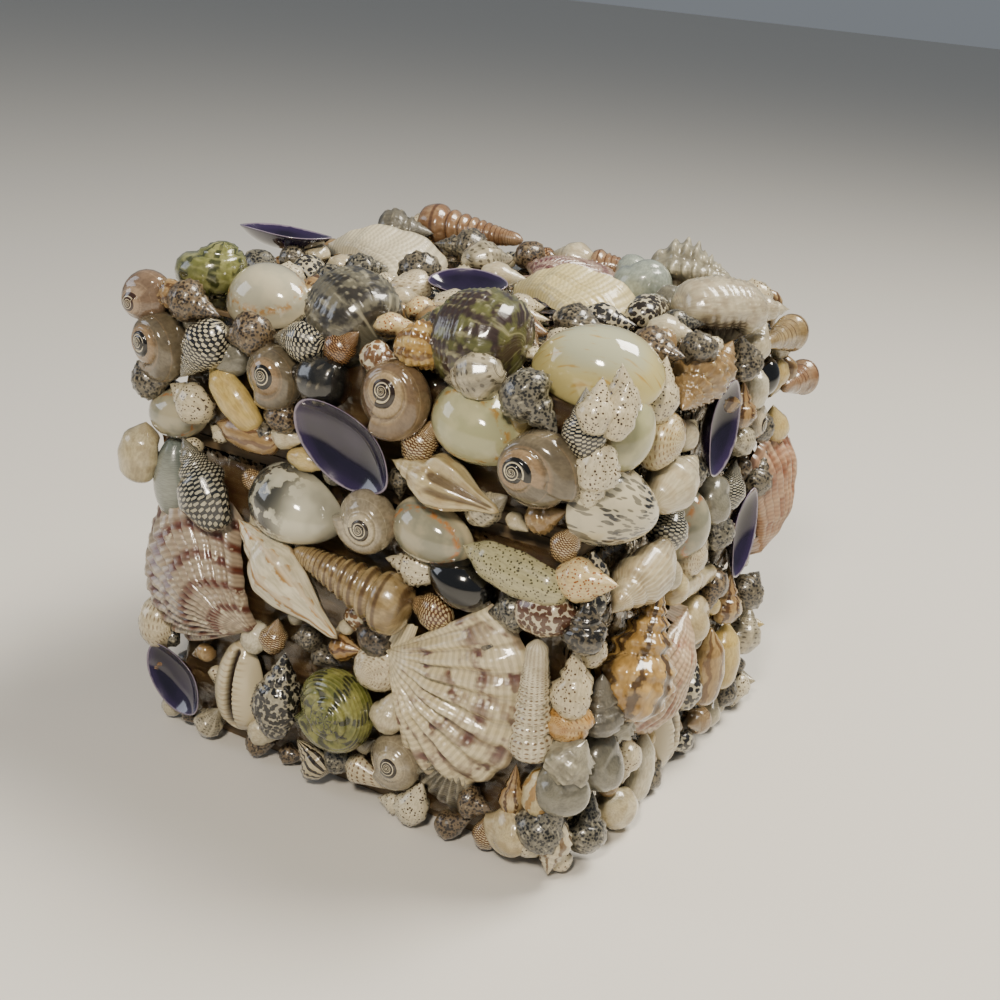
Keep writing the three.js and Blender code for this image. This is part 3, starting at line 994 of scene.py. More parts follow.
@dataclass(frozen=True)
class Coil:
    """A shell that winds round its axis, from its canal to its tip."""

    stops: tuple[tuple[float, float], ...] = ((0, 0.35), (0.1, 0.6), (0.34, 1), (0.6, 0.86), (1, 0))
    seam_at: float = 0.55
    ratio: float = 0.62
    groove: float = 0.16
    shoulder: float = 1.0
    ribs: int = 0
    cords: float = 0
    relief: float = 0.0
    swell: float = 0.16
    mouth: float = 0.4
    flat: float = 0.92

    def grow(self, length: float, width: float, detail: tuple[int, int]) -> list[Patch]:
        """Grows the shell on its side with its tip towards +X.

        Args:
            length: From canal to tip.
            width: Across its widest turn.
            detail: Rows and columns.

        Returns:
            The shell's surface.
        """
        rows, columns = detail
        along = np.linspace(0, 1, rows)[:, None] ** 0.9
        turn = np.arange(columns)[None, :] / columns
        rest = np.maximum(1 - along, 0.004)
        phase = np.log(rest / (1 - self.seam_at)) / math.log(self.ratio) + turn - 1
        whorl = (phase - np.floor(phase)) ** self.shoulder
        bulge = np.sin(np.pi * whorl)
        free = (phase < -1) | ((phase < 0) & (whorl < 0.5))
        fade = np.clip(rest * (1 - self.ratio) * rows / 3, 0, 1)
        waist = 1 - self.groove * fade * (1 - np.where(free, 1, bulge) ** 0.8)
        age = np.maximum(np.floor(phase) + 1, 0) + 1 - turn
        growth = 1 + self.swell * np.where(age < 1, 0.5 - age, -0.5 * np.exp(1 - age))
        ends = np.minimum(1, rest / 0.06) ** 0.6 * np.minimum(1, along / 0.05 + 1e-6) ** 0.5
        rib = np.cos(TAU * self.ribs * turn) * 0.5 + 0.5 if self.ribs else 1.0
        cord = np.cos(TAU * self.cords * phase) * 0.5 + 0.5 if self.cords else 1.0
        crest = rib * cord * step(0, 0.15, along) * fade if self.relief else 0 * phase
        belly = step(0.02, 0.12, along) * step(self.seam_at, self.seam_at - 0.12, along)
        gape = np.clip(1 - turn / 0.27, 0, 1) ** 0.5 * belly
        lip = step(0.9, 1.0, turn) * step(self.seam_at + 0.06, self.seam_at - 0.1, along)
        radius = outline(self.stops, along) * waist * growth * ends * (1 + self.relief * crest)
        radius = 0.5 * width * radius * (1 - self.mouth * gape) * (1 + 0.07 * lip)
        radius[-1], radius[0] = 0, 0
        angle = TAU * turn + math.pi
        y, z = radius * np.sin(angle), self.flat * radius * np.cos(angle)
        points = grid(length * (along - 0.5) + 0 * y, y, z + 0.42 * width)
        # The third value is the crest of the relief, where the finish paints highlight, and below 0 the
        # mouth, where it paints shade.
        return [Patch(points, grid(turn, phase, crest - 1.6 * gape))]


@dataclass(frozen=True)
class Snail:
    """A globe-shaped snail with its spire facing out."""

    ratio: float = 0.5
    seam_at: float = 0.78
    groove: float = 0.1
    swell: float = 0.26
    skew: float = 0.16
    cords: int = 0
    relief: float = 0.0

    def grow(self, width: float, height: float, detail: tuple[int, int]) -> list[Patch]:
        """Grows the snail with its spire towards +Z.

        Args:
            width: Across.
            height: From its base to its spire.
            detail: Rows and columns.

        Returns:
            The shell's surface.
        """
        rows, columns = detail
        tilt = 2.8 * np.linspace(0, 1, rows)[:, None] ** 1.5
        turn = np.arange(columns)[None, :] / columns
        spread = np.maximum(np.tan(tilt / 2), 0.008) / math.tan(self.seam_at / 2)
        phase = np.log(spread) / math.log(self.ratio) + turn - 1
        whorl = phase - np.floor(phase)
        free = (phase < -1) | ((phase < 0) & (whorl < 0.5))
        fade = np.clip(tilt * rows / 8, 0, 1)
        waist = 1 - self.groove * fade * (1 - np.where(free, 1, np.sin(np.pi * whorl)) ** 0.6)
        age = np.maximum(np.floor(phase) + 1, 0) + 1 - turn
        growth = 1 + self.swell * np.where(age < 1, 0.5 - age, -0.5 * np.exp(1 - age)) * step(0.2, 1.2, tilt)
        cord = np.cos(TAU * self.cords * phase) * 0.5 + 0.5 if self.cords else 0 * phase
        scale = waist * growth * (1 + self.relief * cord * fade)
        reach = 0.5 * width * np.sin(tilt) ** 0.8 * scale
        rise = height * (0.42 + 0.5 * np.cos(tilt) * scale + 0.12 * np.exp(-((tilt / 0.5) ** 2)))
        x, y = reach * np.cos(TAU * turn), -reach * np.sin(TAU * turn)
        x = x - self.skew * width * step(1.5, 0, tilt)
        # The third value is the crest of the cords, where the finish paints highlight.
        return [Patch(grid(x, y, rise), grid(turn, phase, 0.9 * cord * fade), flip=True)]


@dataclass(frozen=True)
class Dome:
    """A smooth domed shell, such as a cowrie's back or a nerite, wider at its -X end."""

    height: float = 0.62
    taper: float = 0.14
    flange: float = 0.04
    teeth: int = 0

    def grow(self, length: float, width: float, detail: tuple[int, int]) -> list[Patch]:
        """Grows the dome with its back towards +Z.

        Args:
            length: Along X.
            width: Along Y.
            detail: Rows and columns.

        Returns:
            The shell's surface.
        """
        rows, columns = detail
        tilt = np.linspace(0, math.pi, rows)[:, None]
        turn = TAU * np.arange(columns)[None, :] / columns
        x, y, z = np.sin(tilt) * np.cos(turn), np.sin(tilt) * np.sin(turn), np.cos(tilt) + 0 * turn
        rim = 1 + self.flange * np.exp(-(((z - 0.05) / 0.2) ** 2))
        rise = np.where(z < 0, 0.3 * z, z)
        if self.teeth:
            slit = np.exp(-((y / 0.13) ** 2)) * step(0.95, 0.8, np.abs(x))
            tooth = np.exp(-(((np.abs(y) - 0.3) / 0.22) ** 2)) * step(0.95, 0.75, np.abs(x))
            rise = rise - 0.45 * slit * (z > 0) + 0.05 * tooth * np.cos(TAU * self.teeth * x) * (z > 0)
        points = grid(
            0.5 * length * x * rim, 0.5 * width * y * rim * (1 - self.taper * x),
            self.height * width * (0.82 * rise + 0.2),
        )
        # The third value is the height round the dome: the plain finish paints highlight on top and shade
        # underneath from it; the cowrie finishes draw their rings and rims from it.
        return [Patch(points, grid(x, y, np.clip(z, -1, 1)))]


@dataclass(frozen=True)
class Cup:
    """One half of a clam lying open side out, its beak towards +X."""

    depth: float = 0.28
    thick: float = 0.9

    def grow(self, length: float, width: float, detail: tuple[int, int]) -> list[Patch]:
        """Grows the thin cup with its rim towards +Z.

        Args:
            length: Along X.
            width: Along Y.
            detail: Rows and columns.

        Returns:
            The inside and outside as one closed surface.
        """
        rows, columns = detail
        half = rows // 2
        share = np.concatenate([np.linspace(0, 1, half), np.linspace(1, 0, rows - half)])[:, None]
        under = np.concatenate([np.zeros(half), np.ones(rows - half)])[:, None]
        turn = TAU * np.arange(columns)[None, :] / columns
        x, y = share * np.cos(turn), share * np.sin(turn)
        beak = 1 + 0.1 * x - 0.34 * np.maximum(0, x) ** 3
        wall = self.thick * (1 - 0.75 * share ** 3)
        rise = self.depth * width * share ** 2.6 + wall * (1 - under) + 0.25 * np.cos(3 * turn) * share ** 3
        points = grid(0.5 * length * x * (1 + 0.012 * under), 0.5 * width * y * beak, rise)
        return [Patch(points, grid(share - 1.2 * under * (share < 0.97), turn / TAU, under + 0 * turn))]


@dataclass(frozen=True)
class Fan:
    """A ribbed fan lying open side down, its hinge at the origin, opening towards +X."""

    ribs: int = 8
    rise: float = 0.26
    flute: float = 0.3
    ears: bool = True
    sharp: float = 1.0
    shy: float = 0.2
    beads: float = 0.0

    def grow(self, radius: float, spread: float, detail: tuple[int, int]) -> list[Patch]:
        """Grows the fan.

        Args:
            radius: From hinge to edge.
            spread: The angle that it opens to, in degrees.
            detail: Rows and columns.

        Returns:
            The fan and its ears.
        """
        rows, columns = detail
        share = np.linspace(0, 1, rows)[:, None]
        place = np.linspace(-1, 1, columns)[None, :]
        angle = 0.5 * math.radians(spread) * place
        ridge = (np.cos(TAU * (self.ribs / 2) * place) * 0.5 + 0.5) ** self.sharp
        growth = 0.012 * np.sin(38 * share + 0.8 * np.cos(3 * place))
        growth = growth + self.beads * ridge * (0.5 + 0.5 * np.cos(95 * share))
        reach = radius * (1 - self.shy * np.abs(place) ** 3) * (1 + 0.02 * ridge)
        arch = outline(((0, 0.3), (0.18, 0.72), (0.42, 1), (0.8, 0.72), (1, 0.1)), share)
        side = np.sqrt(np.maximum(1 - 0.86 * place ** 2, 0))
        fluted = 1 - self.flute * (1 - ridge) * step(0.05, 0.5, share) * 0.6
        lift = arch * side * fluted + growth * step(0, 0.3, share)
        skirt = np.where((share >= 1) | (np.abs(place) >= 1), -1.2, 0)
        x, y = share * reach * np.cos(angle), share * reach * np.sin(angle)
        points = grid(x, y, self.rise * radius * lift + skirt)
        # The third value is the ridge of the ribs: the finish paints highlight on it and shade in the grooves
        # between.
        patches = [Patch(points, grid(share, place, ridge), wrap=False)]
        if self.ears:
            patches += [self._ear(radius, side) for side in (-1, 1)]
        return patches

    def _ear(self, radius: float, side: int) -> Patch:
        """Grows one of the two flat ears beside the hinge.

        Args:
            radius: The fan's radius.
            side: -1 or 1.

        Returns:
            The ear.
        """
        out = np.linspace(0, 1, 7)[:, None]
        down = np.linspace(0, 1, 7)[None, :]
        x = radius * (0.16 * down * (1 - 0.25 * out) - 0.01)
        y = side * radius * (0.2 * out + 0.05 * down)
        z = radius * (0.07 - 0.05 * out + 0.01 * np.cos(14 * down))
        return Patch(grid(x, y, z), grid(0.3 * down, 0.9 + 0 * out, 0.6 + 0 * out), wrap=False, flip=side > 0)


# ---------------------------------------------------------------- species
NASSA = Coil(
    stops=((0, 0.4), (0.1, 0.68), (0.3, 1), (0.52, 0.8), (1, 0)), seam_at=0.47, ratio=0.64,
    groove=0.3, shoulder=1.25, ribs=13, cords=3, relief=0.12,
)
DOVE = Coil(
    stops=((0, 0.34), (0.1, 0.62), (0.36, 1), (0.58, 0.82), (1, 0)), seam_at=0.54, ratio=0.62, groove=0.2,
)
TURBAN = Coil(
    stops=((0, 0.6), (0.12, 0.88), (0.36, 1), (0.6, 0.84), (1, 0)), seam_at=0.6, ratio=0.52, groove=0.24,
    shoulder=1.3, cords=6, ribs=34, relief=0.06, swell=0.24,
)
TURRET = Coil(
    stops=((0, 0.6), (0.06, 0.86), (0.16, 1), (1, 0.24)), seam_at=0.2, ratio=0.84, groove=0.3,
    swell=0.06, mouth=0.3,
)
TOWER = Coil(
    stops=((0, 0.7), (0.08, 0.92), (0.18, 1), (1, 0.45)), seam_at=0.18, ratio=0.87, groove=0.34,
    ribs=12, cords=1, relief=0.14, swell=0.05, mouth=0.3,
)
WHELK = Coil(
    stops=((0, 0.12), (0.2, 0.36), (0.42, 0.86), (0.58, 1), (0.72, 0.72), (1, 0)), seam_at=0.66, ratio=0.55,
    groove=0.16, shoulder=1.6, ribs=8, relief=0.06, swell=0.24,
)
OLIVE = Coil(
    stops=((0, 0.4), (0.15, 0.82), (0.45, 1), (0.75, 0.82), (1, 0.05)), seam_at=0.82, ratio=0.6,
    groove=0.08, swell=0.06,
)
CONE = Coil(stops=((0, 0.2), (0.7, 1), (0.82, 0.8), (1, 0)), seam_at=0.74, ratio=0.5)
BEADED = Coil(
    stops=((0, 0.45), (0.12, 0.8), (0.32, 1), (0.55, 0.8), (1, 0.03)), seam_at=0.42, ratio=0.68, groove=0.32,
    shoulder=1.3, ribs=16, cords=2, relief=0.14, swell=0.14,
)
GRANULAR = Coil(groove=0.2, ribs=20, cords=6, relief=0.08, swell=0.2)
KNOBBED = Coil(
    stops=((0, 0.4), (0.1, 0.62), (0.36, 1), (0.55, 0.85), (1, 0)), seam_at=0.5, ratio=0.66, groove=0.3,
    shoulder=1.5, ribs=8, cords=2, relief=0.2,
)


class Species(Enum):
    """A kind of shell: its form, its finish and its three colours."""

    MOON_GREY = (Snail(), Coatings.MOON, "776e62", "14100e", "b8997c")
    MOON_BROWN = (Snail(), Coatings.MOON, "84705e", "2a1c15", "d0bca0")
    MOON_PALE = (Snail(), Coatings.MOON, "a39a8e", "3a332e", "e2d8c8")
    GREEN_SNAIL = (Snail(cords=7, relief=0.03, groove=0.14), Coatings.FLAMED, "6c7339", "363b22", "9b9d60")
    PEARL = (Snail(groove=0.05), Coatings.PLAIN, "85847f", "5f5e5c", "bab8b0")
    SMOOTH_BLUE = (Snail(groove=0.05), Coatings.PLAIN, "a9b6bb", "87939a", "d5dcdc")
    CREAM_ROUND = (Snail(groove=0.08), Coatings.PLAIN, "cfc2a6", "ab9878", "e8dfc9")
    GOLD_ROUND = (Snail(cords=5, relief=0.05, groove=0.14), Coatings.BANDED, "b88a4c", "86592a", "d8b887")
    TURBAN_GREEN = (Snail(cords=6, relief=0.03, groove=0.2), Coatings.FLAMED, "767c48", "41472a", "a5a87a")
    MOON_PINK = (Snail(), Coatings.MOON, "8b766a", "3f2b25", "c9b2a0")
    EGG_WHITE = (Dome(height=0.72, taper=0.2, flange=0), Coatings.SMUDGED, "d2d2cd", "18191c", "adaeab")
    SPOTTED_CONE = (OLIVE, Coatings.SPECKLED, "d9d4c8", "2a2320", "c3bbad")
    GRANULAR = (GRANULAR, Coatings.SPECKLED, "bdb9b0", "1c1b1d", "7d7a76")
    SNAIL_CREAM = (Snail(groove=0.12), Coatings.BANDED, "cbb994", "94764d", "e6dcc4")
    GOLD_LINED = (OLIVE, Coatings.FLAMED, "cbbd9c", "a5824c", "e0d8c4")
    OLIVE_TAN = (OLIVE, Coatings.FLAMED, "a58a62", "7a5d3d", "c4ad85")
    CORDED_WHITE = (Snail(cords=6, relief=0.05), Coatings.BANDED, "cfc4b2", "8d7a66", "e6ddcd")
    COWRIE_GREEN = (Dome(), Coatings.COWRIE, "aeb094", "b08438", "cfccb2")
    COWRIE_YELLOW = (Dome(), Coatings.YOLK, "cfc592", "bd9430", "b9c2bb")
    COWRIE_GREY = (Dome(), Coatings.COWRIE, "8f9087", "c07a36", "c9c0ad")
    COWRIE_WHITE = (Dome(), Coatings.COWRIE, "bdbcb4", "b8873f", "dcd5c5")
    COWRIE_UNDER = (Dome(height=0.5, teeth=9), Coatings.TOOTHED, "dcd3c2", "a08766", "efe8da")
    NERITE = (Dome(height=0.6, taper=0.25), Coatings.DASHED, "d3cec2", "22242c", "a9a7a6")
    BLACK_OLIVE = (Dome(height=0.7, taper=0.2), Coatings.COWRIE, "08080a", "101114", "0c0c0f")
    BLUE_GREY = (Dome(height=0.6, taper=0.1), Coatings.PLAIN, "6f7c84", "58636b", "a7aeb2")
    NASSA_BLACK = (NASSA, Coatings.GRITTY, "3a3a3c", "121214", "d3cec2")
    NASSA_GREY = (NASSA, Coatings.GRITTY, "4a4540", "1e1b19", "beb5a6")
    NASSA_TAN = (NASSA, Coatings.FLAMED, "a0835f", "5d4229", "cdb894")
    NASSA_GOLD = (NASSA, Coatings.FLAMED, "ad8847", "7d5c30", "d2b983")
    NASSA_BROWN = (NASSA, Coatings.GRITTY, "5e4c3b", "231913", "b0a08a")
    NASSA_DARK = (NASSA, Coatings.GRITTY, "2f2723", "151210", "9c8c78")
    BLACK_SNAIL = (TURBAN, Coatings.PLAIN, "1b1b1e", "3a3938", "8f8a84")
    GREY_RIBBED = (Coil(groove=0.24, ribs=18, relief=0.08), Coatings.BANDED, "8f8a80", "4c463f", "cbc4b7")
    NASSA_WHITE = (NASSA, Coatings.DOTTED, "d3c8b4", "5d4634", "e9e1d1")
    DOVE_CHECK = (DOVE, Coatings.CHECKERED, "d2cdc1", "1b1e27", "a39f98")
    DOVE_BROWN = (DOVE, Coatings.CHECKERED, "d3c2a3", "5e3b22", "b59468")
    DOVE_SPOT = (DOVE, Coatings.DOTTED, "d8cfbd", "43322a", "eae3d5")
    DOVE_ORANGE = (DOVE, Coatings.FLAMED, "a68254", "6b4a30", "cbb08a")
    DOVE_WHITE = (DOVE, Coatings.PLAIN, "d6cfc0", "bfb09a", "ece6da")
    DOVE_MOTTLE = (DOVE, Coatings.SPECKLED, "d6d1c6", "2b2a2d", "bdb7aa")
    DOVE_CREAM = (DOVE, Coatings.PLAIN, "d8c594", "c3a873", "ece0bd")
    KNOB_WHITE = (KNOBBED, Coatings.DOTTED, "ddd6c8", "4a3526", "efe9dd")
    TIP_SHELL = (KNOBBED, Coatings.FLAMED, "d6cdbb", "7e6851", "ece5d8")
    CREAM_DOTS = (DOVE, Coatings.DOTTED, "dfc79a", "9a5a2b", "efe3c8")
    PATCHED_EGG = (OLIVE, Coatings.SPECKLED, "dcd6cb", "5d3f33", "bfa894")
    ZEBRA = (NASSA, Coatings.STRIPED, "cfc6b4", "2c2420", "8e8070")
    TOP_BROWN = (DOVE, Coatings.CHECKERED, "a98560", "52331d", "d0b68d")
    TOP_WHITE = (DOVE, Coatings.SPECKLED, "dcd6ca", "7a5a40", "efe9dd")
    TAN_LONG = (OLIVE, Coatings.FLAMED, "9f845f", "775940", "c3a987")
    WORN_CREAM = (OLIVE, Coatings.PLAIN, "cfc5ae", "a2947a", "e6dfcd")
    WHITE_SMOOTH = (OLIVE, Coatings.PLAIN, "dedad1", "bfb6a6", "f0ece4")
    CREAM_STACK = (TOWER, Coatings.PLAIN, "dccfae", "b89f78", "efe6cf")
    CHECK_BIG = (DOVE, Coatings.CHECKERED, "c3c0b8", "20242b", "8f908f")
    OLIVE_DOTTED = (OLIVE, Coatings.DOTTED, "b3b092", "4a4531", "cdc9ae")
    OLIVE_YELLOW = (OLIVE, Coatings.PLAIN, "d3bd80", "c2a768", "e8dbb0")
    CONE_BAND = (CONE, Coatings.BANDED, "c9bda9", "6b4c34", "e2d9c8")
    TURBAN_OLIVE = (TURBAN, Coatings.MARBLED, "62653f", "3a2d2e", "a9a88c")
    TURBAN_GREY = (TURBAN, Coatings.MARBLED, "6f6d66", "343130", "aeaba0")
    TURBAN_PALE = (TURBAN, Coatings.PLAIN, "cdc6ba", "a7998a", "ebe6dc")
    WHITE_RIBBED = (
        Coil(groove=0.2, ribs=30, relief=0.05, seam_at=0.55),
        Coatings.PLAIN, "cbbfa9", "a38d70", "ede7da",
    )
    TURRET_BROWN = (TURRET, Coatings.RINGED, "8f7a58", "5a432d", "b8a482")
    TURRET_RUST = (TURRET, Coatings.RINGED, "8b6a52", "57392a", "ae927a")
    TOWER_WHITE = (TOWER, Coatings.BANDED, "cdc5b5", "6f5236", "ebe5d9")
    WHELK_CREAM = (WHELK, Coatings.PLAIN, "cbbd9d", "a38a66", "e6dcc6")
    CONCH_WHITE = (WHELK, Coatings.FLAMED, "dcd6c8", "b98f56", "efeae0")
    GOLD_BEADED = (BEADED, Coatings.FLAMED, "a38250", "5b4630", "cfae76")
    TAN_BEADED = (BEADED, Coatings.PLAIN, "a58b68", "7c6346", "cdb994")
    GREY_BEADED = (BEADED, Coatings.ROUGH, "6d6a66", "3b3937", "b9b5ad")
    DARK_BEADED = (BEADED, Coatings.SPECKLED, "4c4640", "1f1d1c", "9a9184")
    SPINY = (Coil(ribs=7, cords=2, relief=0.34, groove=0.2), Coatings.ROUGH, "a8a59c", "6f6b64", "dedad0")
    VIOLET_CLAM = (Cup(), Coatings.CLAM, "140d28", "2f2350", "8f86a8")
    SCALLOP_CREAM = (
        Fan(ribs=10, rise=0.25, flute=0.5, sharp=0.8),
        Coatings.FAN, "ddd2ba", "6d4a46", "eee7d8",
    )
    SCALLOP_PINK = (Fan(ribs=12, flute=0.3), Coatings.FAN, "d2b8a6", "a36c58", "e6d8cb")
    SCALLOP_ORANGE = (Fan(ribs=11, flute=0.3), Coatings.FAN, "bb9682", "93604c", "d9c2b1")
    SCALLOP_MAROON = (Fan(ribs=14, rise=0.24, flute=0.25), Coatings.BLOTCHED, "c9b3ae", "5f2430", "e2d6d2")
    COCKLE_RUST = (
        Fan(ribs=15, rise=0.3, flute=0.4, ears=False, shy=0.38, beads=0.02),
        Coatings.BLOTCHED, "e0d8cc", "65352b", "f0eae0",
    )
    ARK_WHITE = (
        Fan(ribs=20, rise=0.32, flute=0.24, ears=False),
        Coatings.PALE_FAN, "d8d2c6", "a9a091", "eeeae1",
    )
    ARK_CREAM = (
        Fan(ribs=22, rise=0.34, flute=0.22, ears=False),
        Coatings.PALE_FAN, "dfd2a6", "bba972", "eee7c8",
    )
    LIMPET_GREY = (
        Fan(ribs=11, rise=0.35, flute=0.4, ears=False),
        Coatings.FAN, "7d7973", "2b2928", "bdb9b0",
    )


# ---------------------------------------------------------------- faces of the box
BODY_LOW, BODY_HIGH = (np.array(corner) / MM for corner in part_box("box_body"))
LID_LOW, LID_HIGH = (np.array(corner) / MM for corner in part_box("lid"))
MIDDLE = (BODY_LOW + BODY_HIGH) / 2
HALF_WIDTH, HALF_DEPTH = ((BODY_HIGH - BODY_LOW) / 2)[:2]


class Face(Enum):
    """A face of the box, as its along and up directions."""

    FRONT = ((1, 0, 0), (0, 0, 1))
    RIGHT = ((0, 1, 0), (0, 0, 1))
    BACK = ((-1, 0, 0), (0, 0, 1))
    LEFT = ((0, -1, 0), (0, 0, 1))
    TOP = ((1, 0, 0), (0, 1, 0))

    @property
    def basis(self) -> Matrix:
        """The face's frame in millimetres: X along, Y up and Z out, with its origin on the wood."""
        along, up = (Vector(axis) for axis in self.value)
        out = along.cross(up)
        reach = {Face.TOP: LID_HIGH[2], Face.FRONT: HALF_DEPTH, Face.BACK: HALF_DEPTH}.get(self, HALF_WIDTH)
        origin = Vector((MIDDLE[0], MIDDLE[1], 0)) + out * reach
        return Matrix([[*row, origin[i]] for i, row in enumerate(zip(along, up, out))] + [[0, 0, 0, 1]])

    @property
    def half(self) -> float:
        """Half the face's width."""
        return HALF_DEPTH if self in (Face.RIGHT, Face.LEFT) else HALF_WIDTH


def pose(turn: float, tip: float = 0, swing: float = 0) -> Matrix:
    """Turns a shell on its face, tips it up and swings it aside.

    Args:
        turn: Degrees about the face's outward axis.
        tip: Degrees that its upper side leans back.
        swing: Degrees about the face's up axis.

    Returns:
        The rotation.
    """
    return (
        Matrix.Rotation(math.radians(swing), 4, "Y")
        @ Matrix.Rotation(math.radians(-tip), 4, "X")
        @ Matrix.Rotation(math.radians(turn), 4, "Z")
    )


# ---------------------------------------------------------------- pieces
class Piece:
    """One visible piece, gathered from patches and built as one mesh."""

    def __init__(self, name: str) -> None:
        """Starts an empty piece.

        Args:
            name: The piece's name.
        """
        self.name = name
        self.points: list[np.ndarray] = []
        self.quads: list[np.ndarray] = []
        self.coils: list[np.ndarray] = []
        self.inks: list[np.ndarray] = []
        self.coatings: list[Coatings] = []
        self.slots: list[np.ndarray] = []
        self.count = 0

    def add(self, patch: Patch, place: Matrix, coating: Coatings, inks: tuple[str, ...]) -> None:
        """Adds a patch.

        Args:
            patch: The patch.
            place: Where it goes, in millimetres.
            coating: Its finish.
            inks: Its three colours.
        """
        rows, columns = patch.points.shape[:2]
        number = self.count + np.arange(rows * columns).reshape(rows, columns)
        here = number if patch.wrap else number[:, :-1]
        there = np.roll(number, -1, axis=1) if patch.wrap else number[:, 1:]
        quads = np.stack([here[:-1], here[1:], there[1:], there[:-1]], axis=-1).reshape(-1, 4)
        matrix = np.array(place)
        self.points.append(patch.points.reshape(-1, 3) @ matrix[:3, :3].T + matrix[:3, 3])
        self.quads.append(quads[:, ::-1] if patch.flip else quads)
        self.coils.append(patch.coil.reshape(-1, 3))
        colours = np.array([ink(code) for code in inks])
        self.inks.append(np.repeat(colours[:, None, :], rows * columns, axis=1))
        if coating not in self.coatings:
            self.coatings.append(coating)
        self.slots.append(np.full(len(quads), self.coatings.index(coating)))
        self.count += rows * columns

    def build(self, shop: Paintshop, slot: str, node: str | None = None) -> bpy.types.Object:
        """Makes the mesh and fastens it to the box.

        Args:
            shop: Where its finishes come from.
            slot: The record's material slot; not used.
            node: The CAD node that it stands for.

        Returns:
            The object.
        """
        points, quads = np.concatenate(self.points) * MM, np.concatenate(self.quads)
        mesh = bpy.data.meshes.new(self.name)
        mesh.from_pydata(points.tolist(), [], quads.tolist())
        for key, index in (("ground", 0), ("mark", 1), ("accent", 2)):
            layer = mesh.attributes.new(key, "FLOAT_COLOR", "POINT")
            layer.data.foreach_set("color", np.concatenate([colours[index] for colours in self.inks]).ravel())
        layer = mesh.attributes.new("coil", "FLOAT_VECTOR", "POINT")
        layer.data.foreach_set("vector", np.concatenate(self.coils).ravel())
        for coating in self.coatings:
            mesh.materials.append(shop.get(coating))
        mesh.polygons.foreach_set("material_index", np.concatenate(self.slots))
        mesh.polygons.foreach_set("use_smooth", np.ones(len(quads), bool))
        made = bpy.data.objects.new(self.name, mesh)
        bpy.context.scene.collection.objects.link(made)
        close_seams(mesh)
        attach(made, "root")
        if node:
            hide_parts(node)
        log.info("%s: %d faces", self.name, len(mesh.polygons))
        return made


def close_seams(mesh: bpy.types.Mesh) -> None:
    """Joins points that lie on one another, such as the row at a shell's tip.

    Args:
        mesh: The mesh.
    """
    work = bmesh.new()
    work.from_mesh(mesh)
    bmesh.ops.remove_doubles(work, verts=work.verts, dist=1e-6)
    work.to_mesh(mesh)
    work.free()


FINE = (54, 62)
SMALL = (22, 26)
TINY = (14, 18)
FLOOR_CLEAR = 0.6
GLUE_ROWS, GLUE_COLUMNS = 72, 56
GLUE_BACK = 0.4
FILLER_SIZES = ((5.0, 260), (4.0, 420), (3.1, 640), (2.4, 900))


@dataclass(frozen=True)
class Shell:
    """One shell of a species, with its size and how it is turned."""

    species: Species
    length: float
    width: float
    turn: float = 0
    tip: float = 0
    swing: float = 0
    roll: float = 0

    def add_to(self, piece: Piece, face: Face, spot: Vector, detail: tuple[int, int], centred: bool) -> None:
        """Adds the shell to a piece.

        Args:
            piece: The piece.
            face: The face that it is set on.
            spot: Where it goes in the face's frame.
            detail: Rows and columns of its mesh.
            centred: Whether spot is the middle of its box and not its origin.
        """
        form, coating, *inks = self.species.value
        patches = form.grow(self.length, self.width, detail)
        axle = Matrix.Translation((0, 0, 0.42 * self.width))
        rolled = axle @ Matrix.Rotation(math.radians(self.roll), 4, "X") @ axle.inverted()
        turned = face.basis.to_3x3().to_4x4() @ pose(self.turn, self.tip, self.swing) @ rolled
        place = face.basis @ Matrix.Translation(spot) @ pose(self.turn, self.tip, self.swing) @ rolled
        if centred:
            matrix = np.array(turned)[:3, :3]
            points = np.concatenate([patch.points.reshape(-1, 3) for patch in patches]) @ matrix.T
            points += np.array(turned)[:3, 3]
            middle = Vector((points.min(0) + points.max(0)) / 2)
            place = Matrix.Translation(face.basis @ spot - middle) @ turned
        lowest = min((patch.points.reshape(-1, 3) @ np.array(place)[2, :3]).min() for patch in patches)
        lift = max(0.0, FLOOR_CLEAR - lowest - place[2][3])
        place = Matrix.Translation((0, 0, lift)) @ place
        for patch in patches:
            piece.add(patch, place, coating, tuple(inks))


@dataclass(frozen=True)
class NamedShell:
    """A large shell that stands for a CAD node of its own."""

    node: str
    face: Face
    slot: str
    shell: Shell
    raised: bool = False

    def build(self, shop: Paintshop) -> bpy.types.Object:
        """Makes the shell where its CAD node is.

        Args:
            shop: Where its finish comes from.

        Returns:
            The object.
        """
        piece = Piece(f"{self.node}_carved")
        self.shell.add_to(piece, self.face, self.spot, FINE, centred=True)
        return piece.build(shop, self.slot, self.node)

    @property
    def spot(self) -> Vector:
        """The middle of its CAD node in the face's frame."""
        low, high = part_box(self.node)
        return self.face.basis.inverted() @ ((low + high) / (2 * MM))

    @property
    def footprint(self) -> list[tuple[float, float, float]]:
        """Discs that cover the shell, as along, up and radius."""
        low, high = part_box(self.node)
        back = self.face.basis.inverted()
        a, b = back @ (low / MM), back @ (high / MM)
        half = Vector((abs(a.x - b.x), abs(a.y - b.y))) / 2
        middle = (a + b) / 2
        radius = min(half)
        run = Vector((half.x - radius, half.y - radius))
        lean = -1 if math.sin(math.radians(2 * self.shell.turn)) < 0 else 1
        steps = (-1, -0.5, 0, 0.5, 1)
        return [(middle.x + k * run.x, middle.y + k * lean * run.y, 0.88 * radius) for k in steps]


